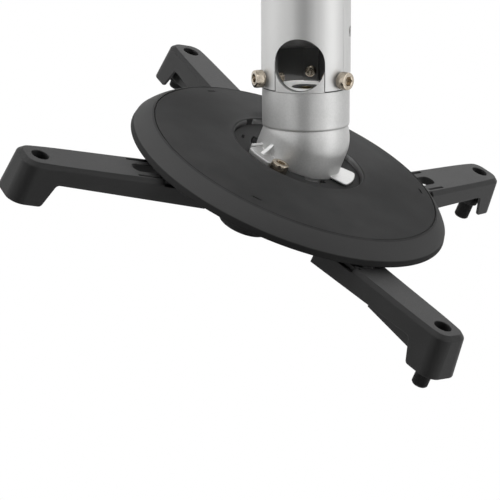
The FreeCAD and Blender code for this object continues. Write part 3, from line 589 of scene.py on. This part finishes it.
class MountSizes(bpy.types.PropertyGroup):
    """Sizes of the surfaces that stand for the solids."""

    edge: bpy.props.FloatProperty(
        name="Moulded edge", description="Rounding of the plastic parts' edges",
        default=0.00045, min=0.00005, max=0.002, precision=5, unit="LENGTH")
    cast_edge: bpy.props.FloatProperty(
        name="Cast edge", description="Rounding of the metal parts' edges",
        default=0.00045, min=0.00005, max=0.002, precision=5, unit="LENGTH")
    knurl_depth: bpy.props.FloatProperty(
        name="Knurl depth", description="Depth of the grooves round a screw head",
        default=0.00014, min=0.0, max=0.0005, precision=5, unit="LENGTH")
    thread_pitch: bpy.props.FloatProperty(
        name="Thread pitch", description="Pitch of the screw threads",
        default=0.001, min=0.0003, max=0.003, precision=5, unit="LENGTH")
    groove: bpy.props.FloatProperty(
        name="Disc groove", description="Depth of the groove near the disc's rim",
        default=0.0006, min=0.0, max=0.0015, precision=5, unit="LENGTH")


class MountLight(bpy.types.PropertyGroup):
    """Levels of the studio light."""

    sky: bpy.props.FloatProperty(
        name="Sky", description="Even light from all round", default=0.28, min=0, max=2)
    left: bpy.props.FloatProperty(
        name="Left panel", description="Power of the light on the left", default=1.2,
        min=0, max=100, unit="POWER")
    right: bpy.props.FloatProperty(
        name="Right panel", description="Power of the light on the right", default=5.0,
        min=0, max=100, unit="POWER")
    top: bpy.props.FloatProperty(
        name="Top panel", description="Power of the light above", default=5.0,
        min=0, max=100, unit="POWER")
    front: bpy.props.FloatProperty(
        name="Front panel", description="Power of the light above the camera", default=4.0,
        min=0, max=100, unit="POWER")
    back: bpy.props.FloatProperty(
        name="Back panel", description="Power of the light behind", default=2.4,
        min=0, max=100, unit="POWER")
    fill_left: bpy.props.FloatProperty(
        name="Left fill", description="Power of the light on the plastic from the left",
        default=36.0, min=0, max=200, unit="POWER")
    fill_right: bpy.props.FloatProperty(
        name="Right fill", description="Power of the light on the plastic from the right",
        default=14.0, min=0, max=200, unit="POWER")
    window: bpy.props.FloatProperty(
        name="Window lamp", description="Power of the narrow lamp that reaches into the tube",
        default=600.0, min=0, max=1000, unit="POWER")


class MountColours(bpy.types.PropertyGroup):
    """Colours of the finishes."""

    tube: bpy.props.FloatVectorProperty(
        name="Tube", description="Silver paint", subtype="COLOR", size=3,
        default=(0.51, 0.51, 0.505), min=0, max=1)
    cast: bpy.props.FloatVectorProperty(
        name="Castings", description="Blasted cast metal", subtype="COLOR", size=3,
        default=(0.455, 0.455, 0.45), min=0, max=1)
    # Ledge colour: the ledge's own pale face, and also a painted highlight for the brightly
    # lit ledge.
    ledge: bpy.props.FloatVectorProperty(
        name="Collar ledge", description="Pale ring inside the collar", subtype="COLOR",
        size=3, default=(0.88, 0.88, 0.87), min=0, max=1)
    screw: bpy.props.FloatVectorProperty(
        name="Screws", description="Nickel plating", subtype="COLOR", size=3,
        default=(0.5, 0.44, 0.36), min=0, max=1)
    bolt: bpy.props.FloatVectorProperty(
        name="Joint bolt", description="Yellow plating", subtype="COLOR", size=3,
        default=(0.3, 0.24, 0.13), min=0, max=1)
    steel: bpy.props.FloatVectorProperty(
        name="Inner steel", description="Plain zinc plating", subtype="COLOR", size=3,
        default=(0.5, 0.5, 0.5), min=0, max=1)
    cover: bpy.props.FloatVectorProperty(
        name="Cover disc", description="Satin dark plastic", subtype="COLOR", size=3,
        default=(0.034, 0.034, 0.034), min=0, max=1)
    arm: bpy.props.FloatVectorProperty(
        name="Arms", description="Grained dark plastic", subtype="COLOR", size=3,
        default=(0.012, 0.012, 0.012), min=0, max=1)
    hub: bpy.props.FloatVectorProperty(
        name="Hub", description="Plain dark plastic", subtype="COLOR", size=3,
        default=(0.024, 0.024, 0.024), min=0, max=1)
    sleeve: bpy.props.FloatVectorProperty(
        name="Foot sleeves", description="Blackened steel", subtype="COLOR", size=3,
        default=(0.016, 0.016, 0.016), min=0, max=1)


class MOUNT_OT_finishes(bpy.types.Operator):
    """Make the finishes and give each CAD part its own"""

    bl_idname = "mount.finishes"
    bl_label = "Finishes"

    def execute(self, context):
        colours = context.scene.mount_colours
        tube_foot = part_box("ceiling_tube")[0].z
        FINISHES.update({
            "tube_silver": silver_paint("tube_silver", colours.tube, tube_foot),
            "cast_silver": cast_metal("cast_silver", colours.cast),
            "collar_silver": collar_metal("collar_silver", colours.cast, colours.ledge),
            "screw_steel": plated_steel("screw_steel", colours.screw, gloss=0.12),
            "inner_steel": plated_steel("inner_steel", colours.steel, gloss=0.34),
            "bolt_yellow": plated_steel("bolt_yellow", colours.bolt, gloss=0.25),
            # The cover's bands are painted light: painted sheen on the bevel, painted shade
            # on the skirt and painted light on the lip's wall.
            "cover_plastic": moulded_plastic(
                "cover_plastic", colours.cover, grain_size=0.5 * MM, gloss=0.44,
                sheen=0.01, painted_light_bands=DISC_PAINTED_LIGHT_BANDS),
            "arm_plastic": moulded_plastic(
                "arm_plastic", colours.arm, grain_size=0.55 * MM, gloss=0.42, sheen=0.2),
            "dark_plastic": moulded_plastic(
                "dark_plastic", colours.hub, grain_size=0.6 * MM, gloss=0.5, sheen=0.03),
            "sleeve_black": plated_steel("sleeve_black", colours.sleeve, gloss=0.38),
        })
        for part in frame["record"]["subparts"]:
            mesh = frame["nodes"][part["node"]].data
            mesh.materials.clear()
            mesh.materials.append(FINISHES[part["material_slot"]])
        return {"FINISHED"}


# Cover disc, in millimetres in the head frame: points are (radius, height)

LIP_RADIUS = 38.5
LIP_WALL = 2.5
LIP_ROUNDING = 1.75
LIP_TOP = -13.25
LIP_UNDERSIDE = -16.4
LIP_STEPS = 10
CREST = (40.4, -10.55)
CREST_RISE = 0.12
CREST_ZONE = 6.0
CREST_SPREAD = 1.5
SWELLS = ((0.75, 8.0), (0.6, 2.2))
BULGE = 0.9
GROOVE = (85.1, -15.0)
GROOVE_HALF = 0.45
GROOVE_OFFSETS = np.array([-0.33, -0.16, 0.0, 0.16, 0.33])
GROOVE_SHARES = np.array([0.25, 0.9, 1.0, 0.9, 0.25])
RIM = (94.5, -23.1)
RIM_INSET = 0.35
RIM_LEAD = (93.3, -21.75)
SKIRT = (95.4, -26.7)
SKIRT_INNER = 93.0
RECESS_OUTER = (92.0, -23.7)
RECESS_INNER = (83.9, -17.4)
DISC_COLUMNS = 360
DOME_ROWS = 32
CREST_ROWS = 9
BEVEL_ROWS = 12

# Three clip slots that share a turn, and a notch in the lip
CLIP_COUNT = 3
CLIP_AZIMUTH = -79.0
CLIP_RADIUS = 78.7
CLIP_HALF_LENGTH = 2.7
CLIP_HALF_WIDTH = 0.8
CLIP_DEPTH = 0.6
NOTCH_AZIMUTH = 168.0
NOTCH_HALF_LENGTH = 3.0
NOTCH_DEPTH = 1.25
NOTCH_FLOOR = -16.35
CLIP_END_SOFTNESS = 0.05
CLIP_SIDE_SOFTNESS = 0.07
NOTCH_SOFTNESS = 0.06
# Shares of a slot's half width and half length where the grid gets rows and columns
WALL_ROWS = np.array([0.85, 0.95, 1.0, 1.05, 1.15])
WALL_COLUMNS = np.array([0.94, 0.97, 1.0, 1.03, 1.06])


def near_turns(azimuth, start, count):
    """Distance in radians to the nearest of count azimuths that share a turn evenly."""
    step = TURN / count
    return np.abs((azimuth - math.radians(start) + step / 2) % step - step / 2)


def within(value, edge, softness):
    """1 below edge less a share softness of it, 0 above edge plus that share, and between
    them the smooth step 3 s s - 2 s s s."""
    low, high = edge * (1 - softness), edge * (1 + softness)
    share = np.clip((high - value) / (high - low), 0, 1)
    return share * share * (3 - 2 * share)


def dome_profile():
    """Bowed top from the crest to the groove. Each swell by the lip dies away outwards
    as swell * e to the power -distance / reach."""
    walls = CLIP_HALF_WIDTH * WALL_ROWS
    end = GROOVE[0] - GROOVE_HALF
    radii = np.unique(np.concatenate([
        CREST[0] + np.linspace(0, 1, CREST_ROWS) ** CREST_SPREAD * CREST_ZONE,
        np.linspace(CREST[0] + CREST_ZONE + 1, end, DOME_ROWS),
        CLIP_RADIUS - walls, CLIP_RADIUS + walls]))
    risen = sum(swell for swell, reach in SWELLS)
    dome = bowed((CREST[0], CREST[1] - risen), (end, GROOVE[1]), BULGE, radii)
    for swell, reach in SWELLS:
        dome[:, 1] += swell * np.exp((CREST[0] - radii) / reach)
    return dome


def groove_profile(depth):
    """Rounded groove near the rim: each offset from its middle has a share of the depth."""
    return np.stack([GROOVE[0] + GROOVE_OFFSETS, GROOVE[1] - depth * GROOVE_SHARES], 1)


def bevel_profile():
    """Bowed slope from the groove to the rim."""
    start = GROOVE[0] + GROOVE_HALF
    radii = np.linspace(start, RIM[0] - RIM_INSET, BEVEL_ROWS)
    return bowed((start, GROOVE[1]), RIM, BULGE, radii)


def underside_profile():
    """Rim, skirt, underside and foot of the lip, each corner with its rounding. The
    first corner only leads the rim's rounding in and is dropped."""
    outside = LIP_RADIUS + LIP_WALL
    return rounded([
        (RIM_LEAD, 0), (RIM, 0.3), (SKIRT, 0.45), ((SKIRT_INNER, SKIRT[1]), 0.3),
        (RECESS_OUTER, 1.5), (RECESS_INNER, 4.0), ((outside, LIP_TOP), 0.6),
        ((outside, LIP_UNDERSIDE), 0.2), ((LIP_RADIUS, LIP_UNDERSIDE), 0.25),
        ((LIP_RADIUS, LIP_TOP), 0)])[1:]


def lip_profile():
    """Rounding from the lip's wall to its crest. Only the arc at the middle corner is
    kept, because the disc's other parts hold the first and the last point."""
    corner = (LIP_RADIUS, CREST[1] + CREST_RISE)
    return rounded([((LIP_RADIUS, LIP_TOP), 0), (corner, LIP_ROUNDING), (CREST, 0)],
                   LIP_STEPS)[1:-1]


def disc_azimuths(clip_half, notch_half):
    """Even azimuths, with finer ones at the walls of the slots and the notch."""
    ends = [(CLIP_AZIMUTH + 360 / CLIP_COUNT * i, clip_half) for i in range(CLIP_COUNT)]
    ends.append((NOTCH_AZIMUTH, notch_half))
    fine = [math.radians(start) + sign * half * WALL_COLUMNS
            for start, half in ends for sign in (-1, 1)]
    return np.unique(np.concatenate([full_turn(DISC_COLUMNS), *fine]) % TURN)


class MOUNT_OT_cover(bpy.types.Operator):
    """Cover disc: a turned profile with three clip slots and a notch in its lip"""

    bl_idname = "mount.cover"
    bl_label = "Cover disc"

    def execute(self, context):
        dome = dome_profile()
        profile = np.concatenate([
            dome, groove_profile(context.scene.mount_sizes.groove / MM), bevel_profile(),
            underside_profile(), lip_profile()])
        radius, height = profile[:, :1], profile[:, 1:]
        clip_half = CLIP_HALF_LENGTH / CLIP_RADIUS
        notch_half = NOTCH_HALF_LENGTH / LIP_RADIUS
        azimuth = disc_azimuths(clip_half, notch_half)

        on_dome = np.arange(len(profile))[:, None] < len(dome)
        along = within(near_turns(azimuth, CLIP_AZIMUTH, CLIP_COUNT), clip_half,
                       CLIP_END_SOFTNESS)
        across = within(abs(radius - CLIP_RADIUS), CLIP_HALF_WIDTH, CLIP_SIDE_SOFTNESS)
        height = height - CLIP_DEPTH * along * across * on_dome
        notched = within(near_turns(azimuth, NOTCH_AZIMUTH, 1), notch_half,
                         NOTCH_SOFTNESS)
        back = LIP_RADIUS + NOTCH_DEPTH
        on_lip = (radius < back) & (height > NOTCH_FLOOR)
        radius = radius + (np.maximum(radius, back) - radius) * notched * on_lip
        piece = closed_ring("cover_surface", radius, height, azimuth, head_matrix(),
                            "head", "cover_plastic")
        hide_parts("cover_disc")
        return {"FINISHED"}


# Screws, in millimetres

SCREW_COLUMNS = 120
ROWS_A_PITCH = 10
THREAD_DEPTH = 0.3
THREAD_START = 0.05
THREAD_STOP = 0.5
KNURLS = 48
# Share of the socket's radius and height over its floor
SOCKET_FLOOR = ((0.35, -0.5), (0.96, 0.0), (1.0, 0.15))
# The mouth is a share wider than the flats, between two depths below the head's top
MOUTH_SHARE = 1.18
MOUTH_DEPTHS = (0.28, 0.02)
MOUTH_ROUNDING = 0.15
# Inset from the head's radius, depth below its top and share of the knurl
HEAD_TOP = ((0.75, 0.0, 0), (0.45, 0.1, 0), (0.2, 0.3, 0), (0.1, 0.75, 0), (0.1, 1.0, 0),
            (0.0, 1.15, 1))
# Inset from the head's radius, height over the seat and share of the knurl
HEAD_FOOT = ((0.0, 0.5, 1), (0.12, 0.25, 0.5), (0.3, 0.0, 0))
# Inset from the thread's radius and height over the tip of the cup point
CUP_POINT = ((0.9, 0.0), (1.5, 0.05), (2.2, 0.7))
TIP_CHAMFER = 0.3

# Head's radius and height, thread's radius and length, and key's half flats and depth
TUBE_SCREW = ((5.0, 5.2), (3.0, 12.4), (2.5, 3.2))
LOCK_SCREW = ((5.0, 6.0), (3.0, 10.0), (2.5, 3.2))
PIVOT_BOLT = ((5.0, 6.0), (3.0, 16.6), (2.5, 3.2))
BALL_BOLT = ((4.6, 4.6), (3.0, 24.0), (2.5, 2.6))

# Where the heads stand: from the tube's axis, in the head frame, over the swing joint,
# and over the ball's centre
TUBE_SCREW_SEAT = 25.9
LOCK_AZIMUTH = -83.1
LOCK_RADIUS = 33.2
LOCK_SEAT = -13.4
PIVOT_SEAT = 5.0
BALL_BOLT_SEAT = 24.0


def hexagon_radius(azimuth, half_flats):
    """Distance from the axis to a hexagon's side: half flats over the cosine of the
    azimuth's distance from the middle of that side."""
    sixth = TURN / 6
    return half_flats / np.cos((azimuth + sixth / 2) % sixth - sixth / 2)


def thread_rows(radius, length, pitch, azimuth):
    """Rows of a thread that runs down from the seat and fades in over one pitch:
    radius - depth * (1 - wave) / 2, where the wave turns once a pitch."""
    levels = np.arange(-THREAD_START, THREAD_STOP - length, -pitch / ROWS_A_PITCH)
    level = levels[:, None]
    wave = np.cos(TURN * level / pitch + azimuth)
    fade = np.minimum(1.0, -level / pitch)
    return zip(radius - THREAD_DEPTH * pitch * fade * (0.5 - 0.5 * wave), levels)


def socket_screw(name, matrix, body, finish, shape, sizes):
    """Socket head screw. Its head stands on the frame's XY plane and its thread runs
    down. Flutes cut into the head by depth * (1 - cos(count * azimuth)) / 2."""
    (head, top), (thread, length), (half_flats, socket_depth) = shape
    azimuth = full_turn(SCREW_COLUMNS)
    pitch = sizes.thread_pitch / MM
    knurl = sizes.knurl_depth / MM * (0.5 - 0.5 * np.cos(azimuth * KNURLS))
    socket = hexagon_radius(azimuth, half_flats)
    mouth = np.maximum(socket, half_flats * MOUTH_SHARE)
    low, high = MOUTH_DEPTHS
    rows = [(share * socket, top - socket_depth + level) for share, level in SOCKET_FLOOR]
    rows += [(socket, top - low), (mouth, top - high), (mouth + MOUTH_ROUNDING, top)]
    rows += [(head - inset - knurl * share, top - depth) for inset, depth, share in HEAD_TOP]
    rows += [(head - inset - knurl * share, level) for inset, level, share in HEAD_FOOT]
    rows.append((thread, 0.0))
    rows += thread_rows(thread, length, pitch, azimuth)
    rows.append((thread - THREAD_DEPTH * pitch, TIP_CHAMFER - length))
    rows += [(thread - inset, level - length) for inset, level in CUP_POINT]
    return capped_turning(name, *stacked(rows, azimuth), azimuth, matrix, body, finish)


def radial_frame(node, distance):
    """Frame of a screw that points at the tube's axis, with its seat at a distance."""
    low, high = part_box(node)
    centre = (low + high) / 2
    outward = Vector((centre.x, centre.y, 0)).normalized()
    return placed(outward * distance + UPWARD * centre.z, outward, UPWARD)


class MOUNT_OT_screws(bpy.types.Operator):
    """Socket head screws with knurled heads, threads and cup points"""

    bl_idname = "mount.screws"
    bl_label = "Screws"

    def execute(self, context):
        sizes = context.scene.mount_sizes
        for kind in ("tube_screw", "clamp_screw"):
            for number in (1, 2, 3):
                node = f"{kind}_{number}"
                piece = socket_screw(
                    f"{node}_surface", radial_frame(node, TUBE_SCREW_SEAT * MM), "base",
                    "screw_steel", TUBE_SCREW, sizes)
                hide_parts(node)
        turn = math.radians(LOCK_AZIMUTH)
        seat = Vector((LOCK_RADIUS * math.cos(turn), LOCK_RADIUS * math.sin(turn),
                       LOCK_SEAT)) * MM
        piece = socket_screw(
            "lock_screw_surface", head_matrix() @ Matrix.Translation(seat), "head",
            "screw_steel", LOCK_SCREW, sizes)
        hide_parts("lock_screw")
        for side in SIDES:
            joint = JOINTS[f"arm_{side}_swing"]
            axis = Vector(joint["axis"])
            seat = Vector(joint["pos_m"]) + axis * PIVOT_SEAT * MM
            along = JOINTS[f"arm_{side}_slide"]["axis"]
            piece = socket_screw(
                f"pivot_bolt_{side}_surface", placed(seat, axis, along), f"pivot_{side}",
                "inner_steel", PIVOT_BOLT, sizes)
            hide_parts(f"pivot_bolt_{side}")
        return {"FINISHED"}


class MOUNT_OT_joint_bolt(bpy.types.Operator):
    """Socket head bolt that clamps the ball, seen through the window"""

    bl_idname = "mount.joint_bolt"
    bl_label = "Joint bolt"

    def execute(self, context):
        seat = BALL_CENTRE + UPWARD * BALL_BOLT_SEAT * MM
        piece = socket_screw(
            "ball_bolt_surface", placed(seat, UPWARD, (1, 0, 0)), "swivel", "bolt_yellow",
            BALL_BOLT, context.scene.mount_sizes)
        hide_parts("ball_bolt")
        return {"FINISHED"}


# Foot sleeves, in millimetres

SLEEVE_RADIUS = 4.52
SLEEVE_BORE = 3.3
SLEEVE_LENGTH = 19.4
SLEEVE_CHAMFER = (0.7, 0.8)
BORE_CHAMFER = 0.35
SLEEVE_COLUMNS = 180
KNURL_ROWS = 80
KNURL_WAVES = 14
KNURL_TWIST = 1.9
KNURL_DEPTH = 0.3


def sleeve_rows(azimuth):
    """Bore and knurled outside. The knurl is the lower of two crossed waves w, cut in by
    depth * (1 - w) cubed, where w = |sin(waves * azimuth + or - twist * height)|."""
    half = SLEEVE_LENGTH / 2
    inset, drop = SLEEVE_CHAMFER
    levels = np.linspace(half - drop, drop - half, KNURL_ROWS)
    waves = KNURL_WAVES * azimuth
    twist = KNURL_TWIST * levels[:, None]
    wave = np.minimum(np.abs(np.sin(waves + twist)), np.abs(np.sin(waves - twist)))
    knurl = SLEEVE_RADIUS - KNURL_DEPTH * (1 - wave) ** 3
    return [(SLEEVE_BORE, -half), (SLEEVE_BORE, half), (SLEEVE_RADIUS - inset, half),
            *zip(knurl, levels), (SLEEVE_RADIUS - inset, -half),
            (SLEEVE_BORE + BORE_CHAMFER, -half)]


class MOUNT_OT_sleeves(bpy.types.Operator):
    """Knurled sleeves in the feet"""

    bl_idname = "mount.sleeves"
    bl_label = "Foot sleeves"

    def execute(self, context):
        azimuth = full_turn(SLEEVE_COLUMNS)
        radius, height = stacked(sleeve_rows(azimuth), azimuth)
        for side in SIDES:
            mount = MOUNTS[f"sleeve_bore_{side}"]
            matrix = placed(Vector(mount["pos_m"]), -Vector(mount["axis"]),
                            JOINTS[f"arm_{side}_slide"]["axis"])
            piece = closed_ring(f"foot_sleeve_{side}_surface", radius, height, azimuth,
                                matrix, f"sleeve_{side}", "sleeve_black")
            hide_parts(f"foot_sleeve_{side}")
        return {"FINISHED"}


# Castings: thin-walled parts get a share of the edge rounding

HUB_EDGE = 0.6
THIN_EDGE = 0.5


class MOUNT_OT_castings(bpy.types.Operator):
    """Arms, hub, collar, shell, tube and plate with softened edges"""

    bl_idname = "mount.castings"
    bl_label = "Castings"

    def execute(self, context):
        sizes = context.scene.mount_sizes
        for side in SIDES:
            soft_copy(f"arm_{side}", "arm_plastic", sizes.edge)
        soft_copy("hub_plate", "dark_plastic", sizes.edge * HUB_EDGE)
        collar = soft_copy("joint_collar", "cast_silver", sizes.cast_edge * THIN_EDGE)
        collar.data.materials[0] = FINISHES["collar_silver"]
        soft_copy("ball_shell", "cast_silver", sizes.cast_edge)
        soft_copy("ceiling_tube", "tube_silver", sizes.cast_edge * THIN_EDGE)
        soft_copy("ceiling_plate", "tube_silver", sizes.cast_edge)
        return {"FINISHED"}


# Stage

CAMERA_PLACE = (0.19037, -1.1625, 0.07879)
CAMERA_TURN = (75.97, 0.304, 10.773)
CAMERA_AZIMUTH = -80.7
CAMERA_LENS = 152.94
CAMERA_SENSOR = 36.0
CAMERA_NEAR = 0.05
JOINT_HEIGHT = -0.15

FLOOR_SIZE = 30.0
FLOOR_HEIGHT = -1.1
FLOOR_GREY = 0.8
CARD_GREY = 0.02
CARD_AZIMUTHS = (-24, 13)
CARD_DISTANCE = 1.7
CARD_HEIGHTS = (-1.1, 0.9)
CARD_COLUMNS = 25

# Setting, azimuth from the camera's side, distance, height, and the panel's two sides
PANELS = (("left", -95, 1.5, -0.1, (0.9, 2.0)),
          ("right", 68, 1.5, -0.1, (0.8, 2.0)),
          ("top", -80, 0.4, 1.35, (1.1, 1.1)),
          ("front", 5, 0.8, 1.2, (1.0, 1.0)),
          ("back", 160, 1.4, 0.7, (0.8, 0.8)))
FILLS = (("fill_left", -85, 1.4, 0.7, (0.7, 0.7)),
         ("fill_right", 75, 1.4, 0.15, (0.7, 0.7)))

WINDOW_LAMP_PLACE = (0, 1.25, 0.78)
WINDOW_LAMP_CONE = 1.7
WINDOW_LAMP_BLEND = 0.6
WINDOW_LAMP_RADIUS = 0.05
WINDOW_LEDGE = 29.0 * MM


def around(azimuth, distance, height):
    """Place round the tube at an azimuth from the camera's side, positive to the right."""
    turn = math.radians(azimuth + CAMERA_AZIMUTH)
    return Vector((distance * math.cos(turn), distance * math.sin(turn), height))


def aimed(lamp, place, target):
    """Put a lamp at a place and turn it to a target."""
    turn = (target - place).to_track_quat("-Z", "Y")
    lamp.matrix_world = Matrix.Translation(place) @ turn.to_matrix().to_4x4()


def light_panel(name, azimuth, distance, height, sides, power):
    """Area light. A tall one faces the tube's axis level, and the others face the joint."""
    data = bpy.data.lights.new(name, "AREA")
    data.shape = "RECTANGLE"
    data.size, data.size_y = sides
    data.energy = power
    lamp = add_object(name, data)
    level = height if sides[1] > sides[0] else JOINT_HEIGHT
    aimed(lamp, around(azimuth, distance, height), UPWARD * level)
    return lamp


def window_lamp(power):
    """Narrow lamp from above the camera onto the ledge behind the tube's window."""
    data = bpy.data.lights.new("window_lamp", "SPOT")
    data.energy = power
    data.spot_size = math.radians(WINDOW_LAMP_CONE)
    data.spot_blend = WINDOW_LAMP_BLEND
    data.shadow_soft_size = WINDOW_LAMP_RADIUS
    lamp = add_object("window_lamp", data)
    lamp.visible_glossy = False
    ledge = BALL_CENTRE + UPWARD * WINDOW_LEDGE
    aimed(lamp, ledge + around(*WINDOW_LAMP_PLACE), ledge)


def dark_card(name, azimuths, distance, heights, finish):
    """Curved card that only reflections see: two rows of points at one distance from the
    tube's axis, even over the azimuths."""
    turn = np.radians(np.linspace(*azimuths, CARD_COLUMNS) + CAMERA_AZIMUTH)
    edge = np.stack([distance * np.cos(turn), distance * np.sin(turn), 0 * turn], 1)
    points = np.concatenate([edge + (0, 0, height) for height in heights])
    first = np.arange(CARD_COLUMNS - 1)
    above = first + CARD_COLUMNS
    faces = np.stack([first, first + 1, above + 1, above], 1)
    mesh = bpy.data.meshes.new(name)
    mesh.from_pydata(points.tolist(), [], faces.tolist())
    mesh.materials.append(finish)
    card = add_object(name, mesh)
    card.visible_camera = False
    card.visible_shadow = False
    card.visible_diffuse = False


def grey(level):
    """Opaque grey for a node's colour socket."""
    return (level, level, level, 1)


def seen_white(graph, plain, glow):
    """Closure that the camera and reflections see as white."""
    path = graph.add("ShaderNodeLightPath")
    seen = (Value(graph, path.outputs["Is Camera Ray"])
            + Value(graph, path.outputs["Is Transmission Ray"])
            + Value(graph, path.outputs["Is Glossy Ray"])).clipped()
    mixed = graph.add("ShaderNodeMixShader", None, {
        0: seen, 1: plain.outputs[0], 2: glow.outputs[0]})
    return mixed.outputs[0]


def floor_paper():
    """Pale floor that keeps the object's light and looks white."""
    graph = Graph("floor_white")
    shade = seen_white(
        graph, graph.add("ShaderNodeBsdfDiffuse", None, {"Color": grey(FLOOR_GREY)}),
        graph.add("ShaderNodeEmission", None, {"Color": grey(1), "Strength": 1.0}))
    graph.add("ShaderNodeOutputMaterial", None, {"Surface": shade})
    return graph.material


def studio_sky(world, strength):
    """Even light from all round that looks white."""
    graph = Graph("studio", world)
    shade = seen_white(
        graph, graph.add("ShaderNodeBackground", None, {"Strength": strength}),
        graph.add("ShaderNodeBackground", None, {"Color": grey(1), "Strength": 1.0}))
    graph.add("ShaderNodeOutputWorld", None, {"Surface": shade})


def black_card():
    """Matt black of the card in front of the camera."""
    graph = Graph("card_black")
    shade = graph.add("ShaderNodeBsdfDiffuse", None, {"Color": grey(CARD_GREY)})
    graph.add("ShaderNodeOutputMaterial", None, {"Surface": shade.outputs[0]})
    return graph.material


def photo_camera():
    """Camera at the photograph's viewing angle."""
    data = bpy.data.cameras.new("photo_view")
    data.sensor_width = CAMERA_SENSOR
    data.lens = CAMERA_LENS
    data.clip_start = CAMERA_NEAR
    camera = add_object("photo_view", data)
    turn = Euler([math.radians(angle) for angle in CAMERA_TURN]).to_matrix().to_4x4()
    camera.matrix_world = Matrix.Translation(CAMERA_PLACE) @ turn
    return camera


class MOUNT_OT_stage(bpy.types.Operator):
    """Pale floor, soft lights and the camera at the photograph's angle"""

    bl_idname = "mount.stage"
    bl_label = "Stage"

    def execute(self, context):
        scene = context.scene
        light = scene.mount_light
        bpy.ops.mesh.primitive_plane_add(size=FLOOR_SIZE, location=(0, 0, FLOOR_HEIGHT))
        floor = context.object
        floor.name = "floor"
        floor.data.materials.append(floor_paper())
        scene.world = bpy.data.worlds.new("studio")
        studio_sky(scene.world, light.sky)
        dark_card("camera_card", CARD_AZIMUTHS, CARD_DISTANCE, CARD_HEIGHTS, black_card())
        for setting, *place in PANELS:
            light_panel(f"{setting}_panel", *place, getattr(light, setting))
        for setting, *place in FILLS:
            lamp = light_panel(setting, *place, getattr(light, setting))
            lamp.visible_glossy = False
        window_lamp(light.window)
        scene.camera = photo_camera()
        scene.view_settings.view_transform = "Standard"
        return {"FINISHED"}


class MOUNT_PT_panel(bpy.types.Panel):
    """Lists the pieces and their settings"""

    bl_idname = "MOUNT_PT_panel"
    bl_label = "Ceiling mount"
    bl_space_type = "VIEW_3D"
    bl_region_type = "UI"
    bl_category = "Mount"

    def draw(self, context):
        for operator in OPERATORS:
            self.layout.operator(operator.bl_idname)
        scene = context.scene
        for group in (scene.mount_sizes, scene.mount_light, scene.mount_colours):
            for name in group.__annotations__:
                self.layout.prop(group, name)


OPERATORS = (MOUNT_OT_finishes, MOUNT_OT_cover, MOUNT_OT_screws, MOUNT_OT_joint_bolt,
             MOUNT_OT_sleeves, MOUNT_OT_castings, MOUNT_OT_stage)
CLASSES = (MountSizes, MountLight, MountColours, *OPERATORS, MOUNT_PT_panel)


def register():
    for item in CLASSES:
        bpy.utils.register_class(item)
    bpy.types.Scene.mount_sizes = bpy.props.PointerProperty(type=MountSizes)
    bpy.types.Scene.mount_light = bpy.props.PointerProperty(type=MountLight)
    bpy.types.Scene.mount_colours = bpy.props.PointerProperty(type=MountColours)


def unregister():
    del bpy.types.Scene.mount_sizes
    del bpy.types.Scene.mount_light
    del bpy.types.Scene.mount_colours
    for item in reversed(CLASSES):
        bpy.utils.unregister_class(item)


def main():
    """Make the pieces and the stage in order."""
    register()
    bpy.ops.mount.finishes()
    bpy.ops.mount.cover()
    bpy.ops.mount.screws()
    bpy.ops.mount.joint_bolt()
    bpy.ops.mount.sleeves()
    bpy.ops.mount.castings()
    bpy.ops.mount.stage()


if __name__ == "__main__":
    main()
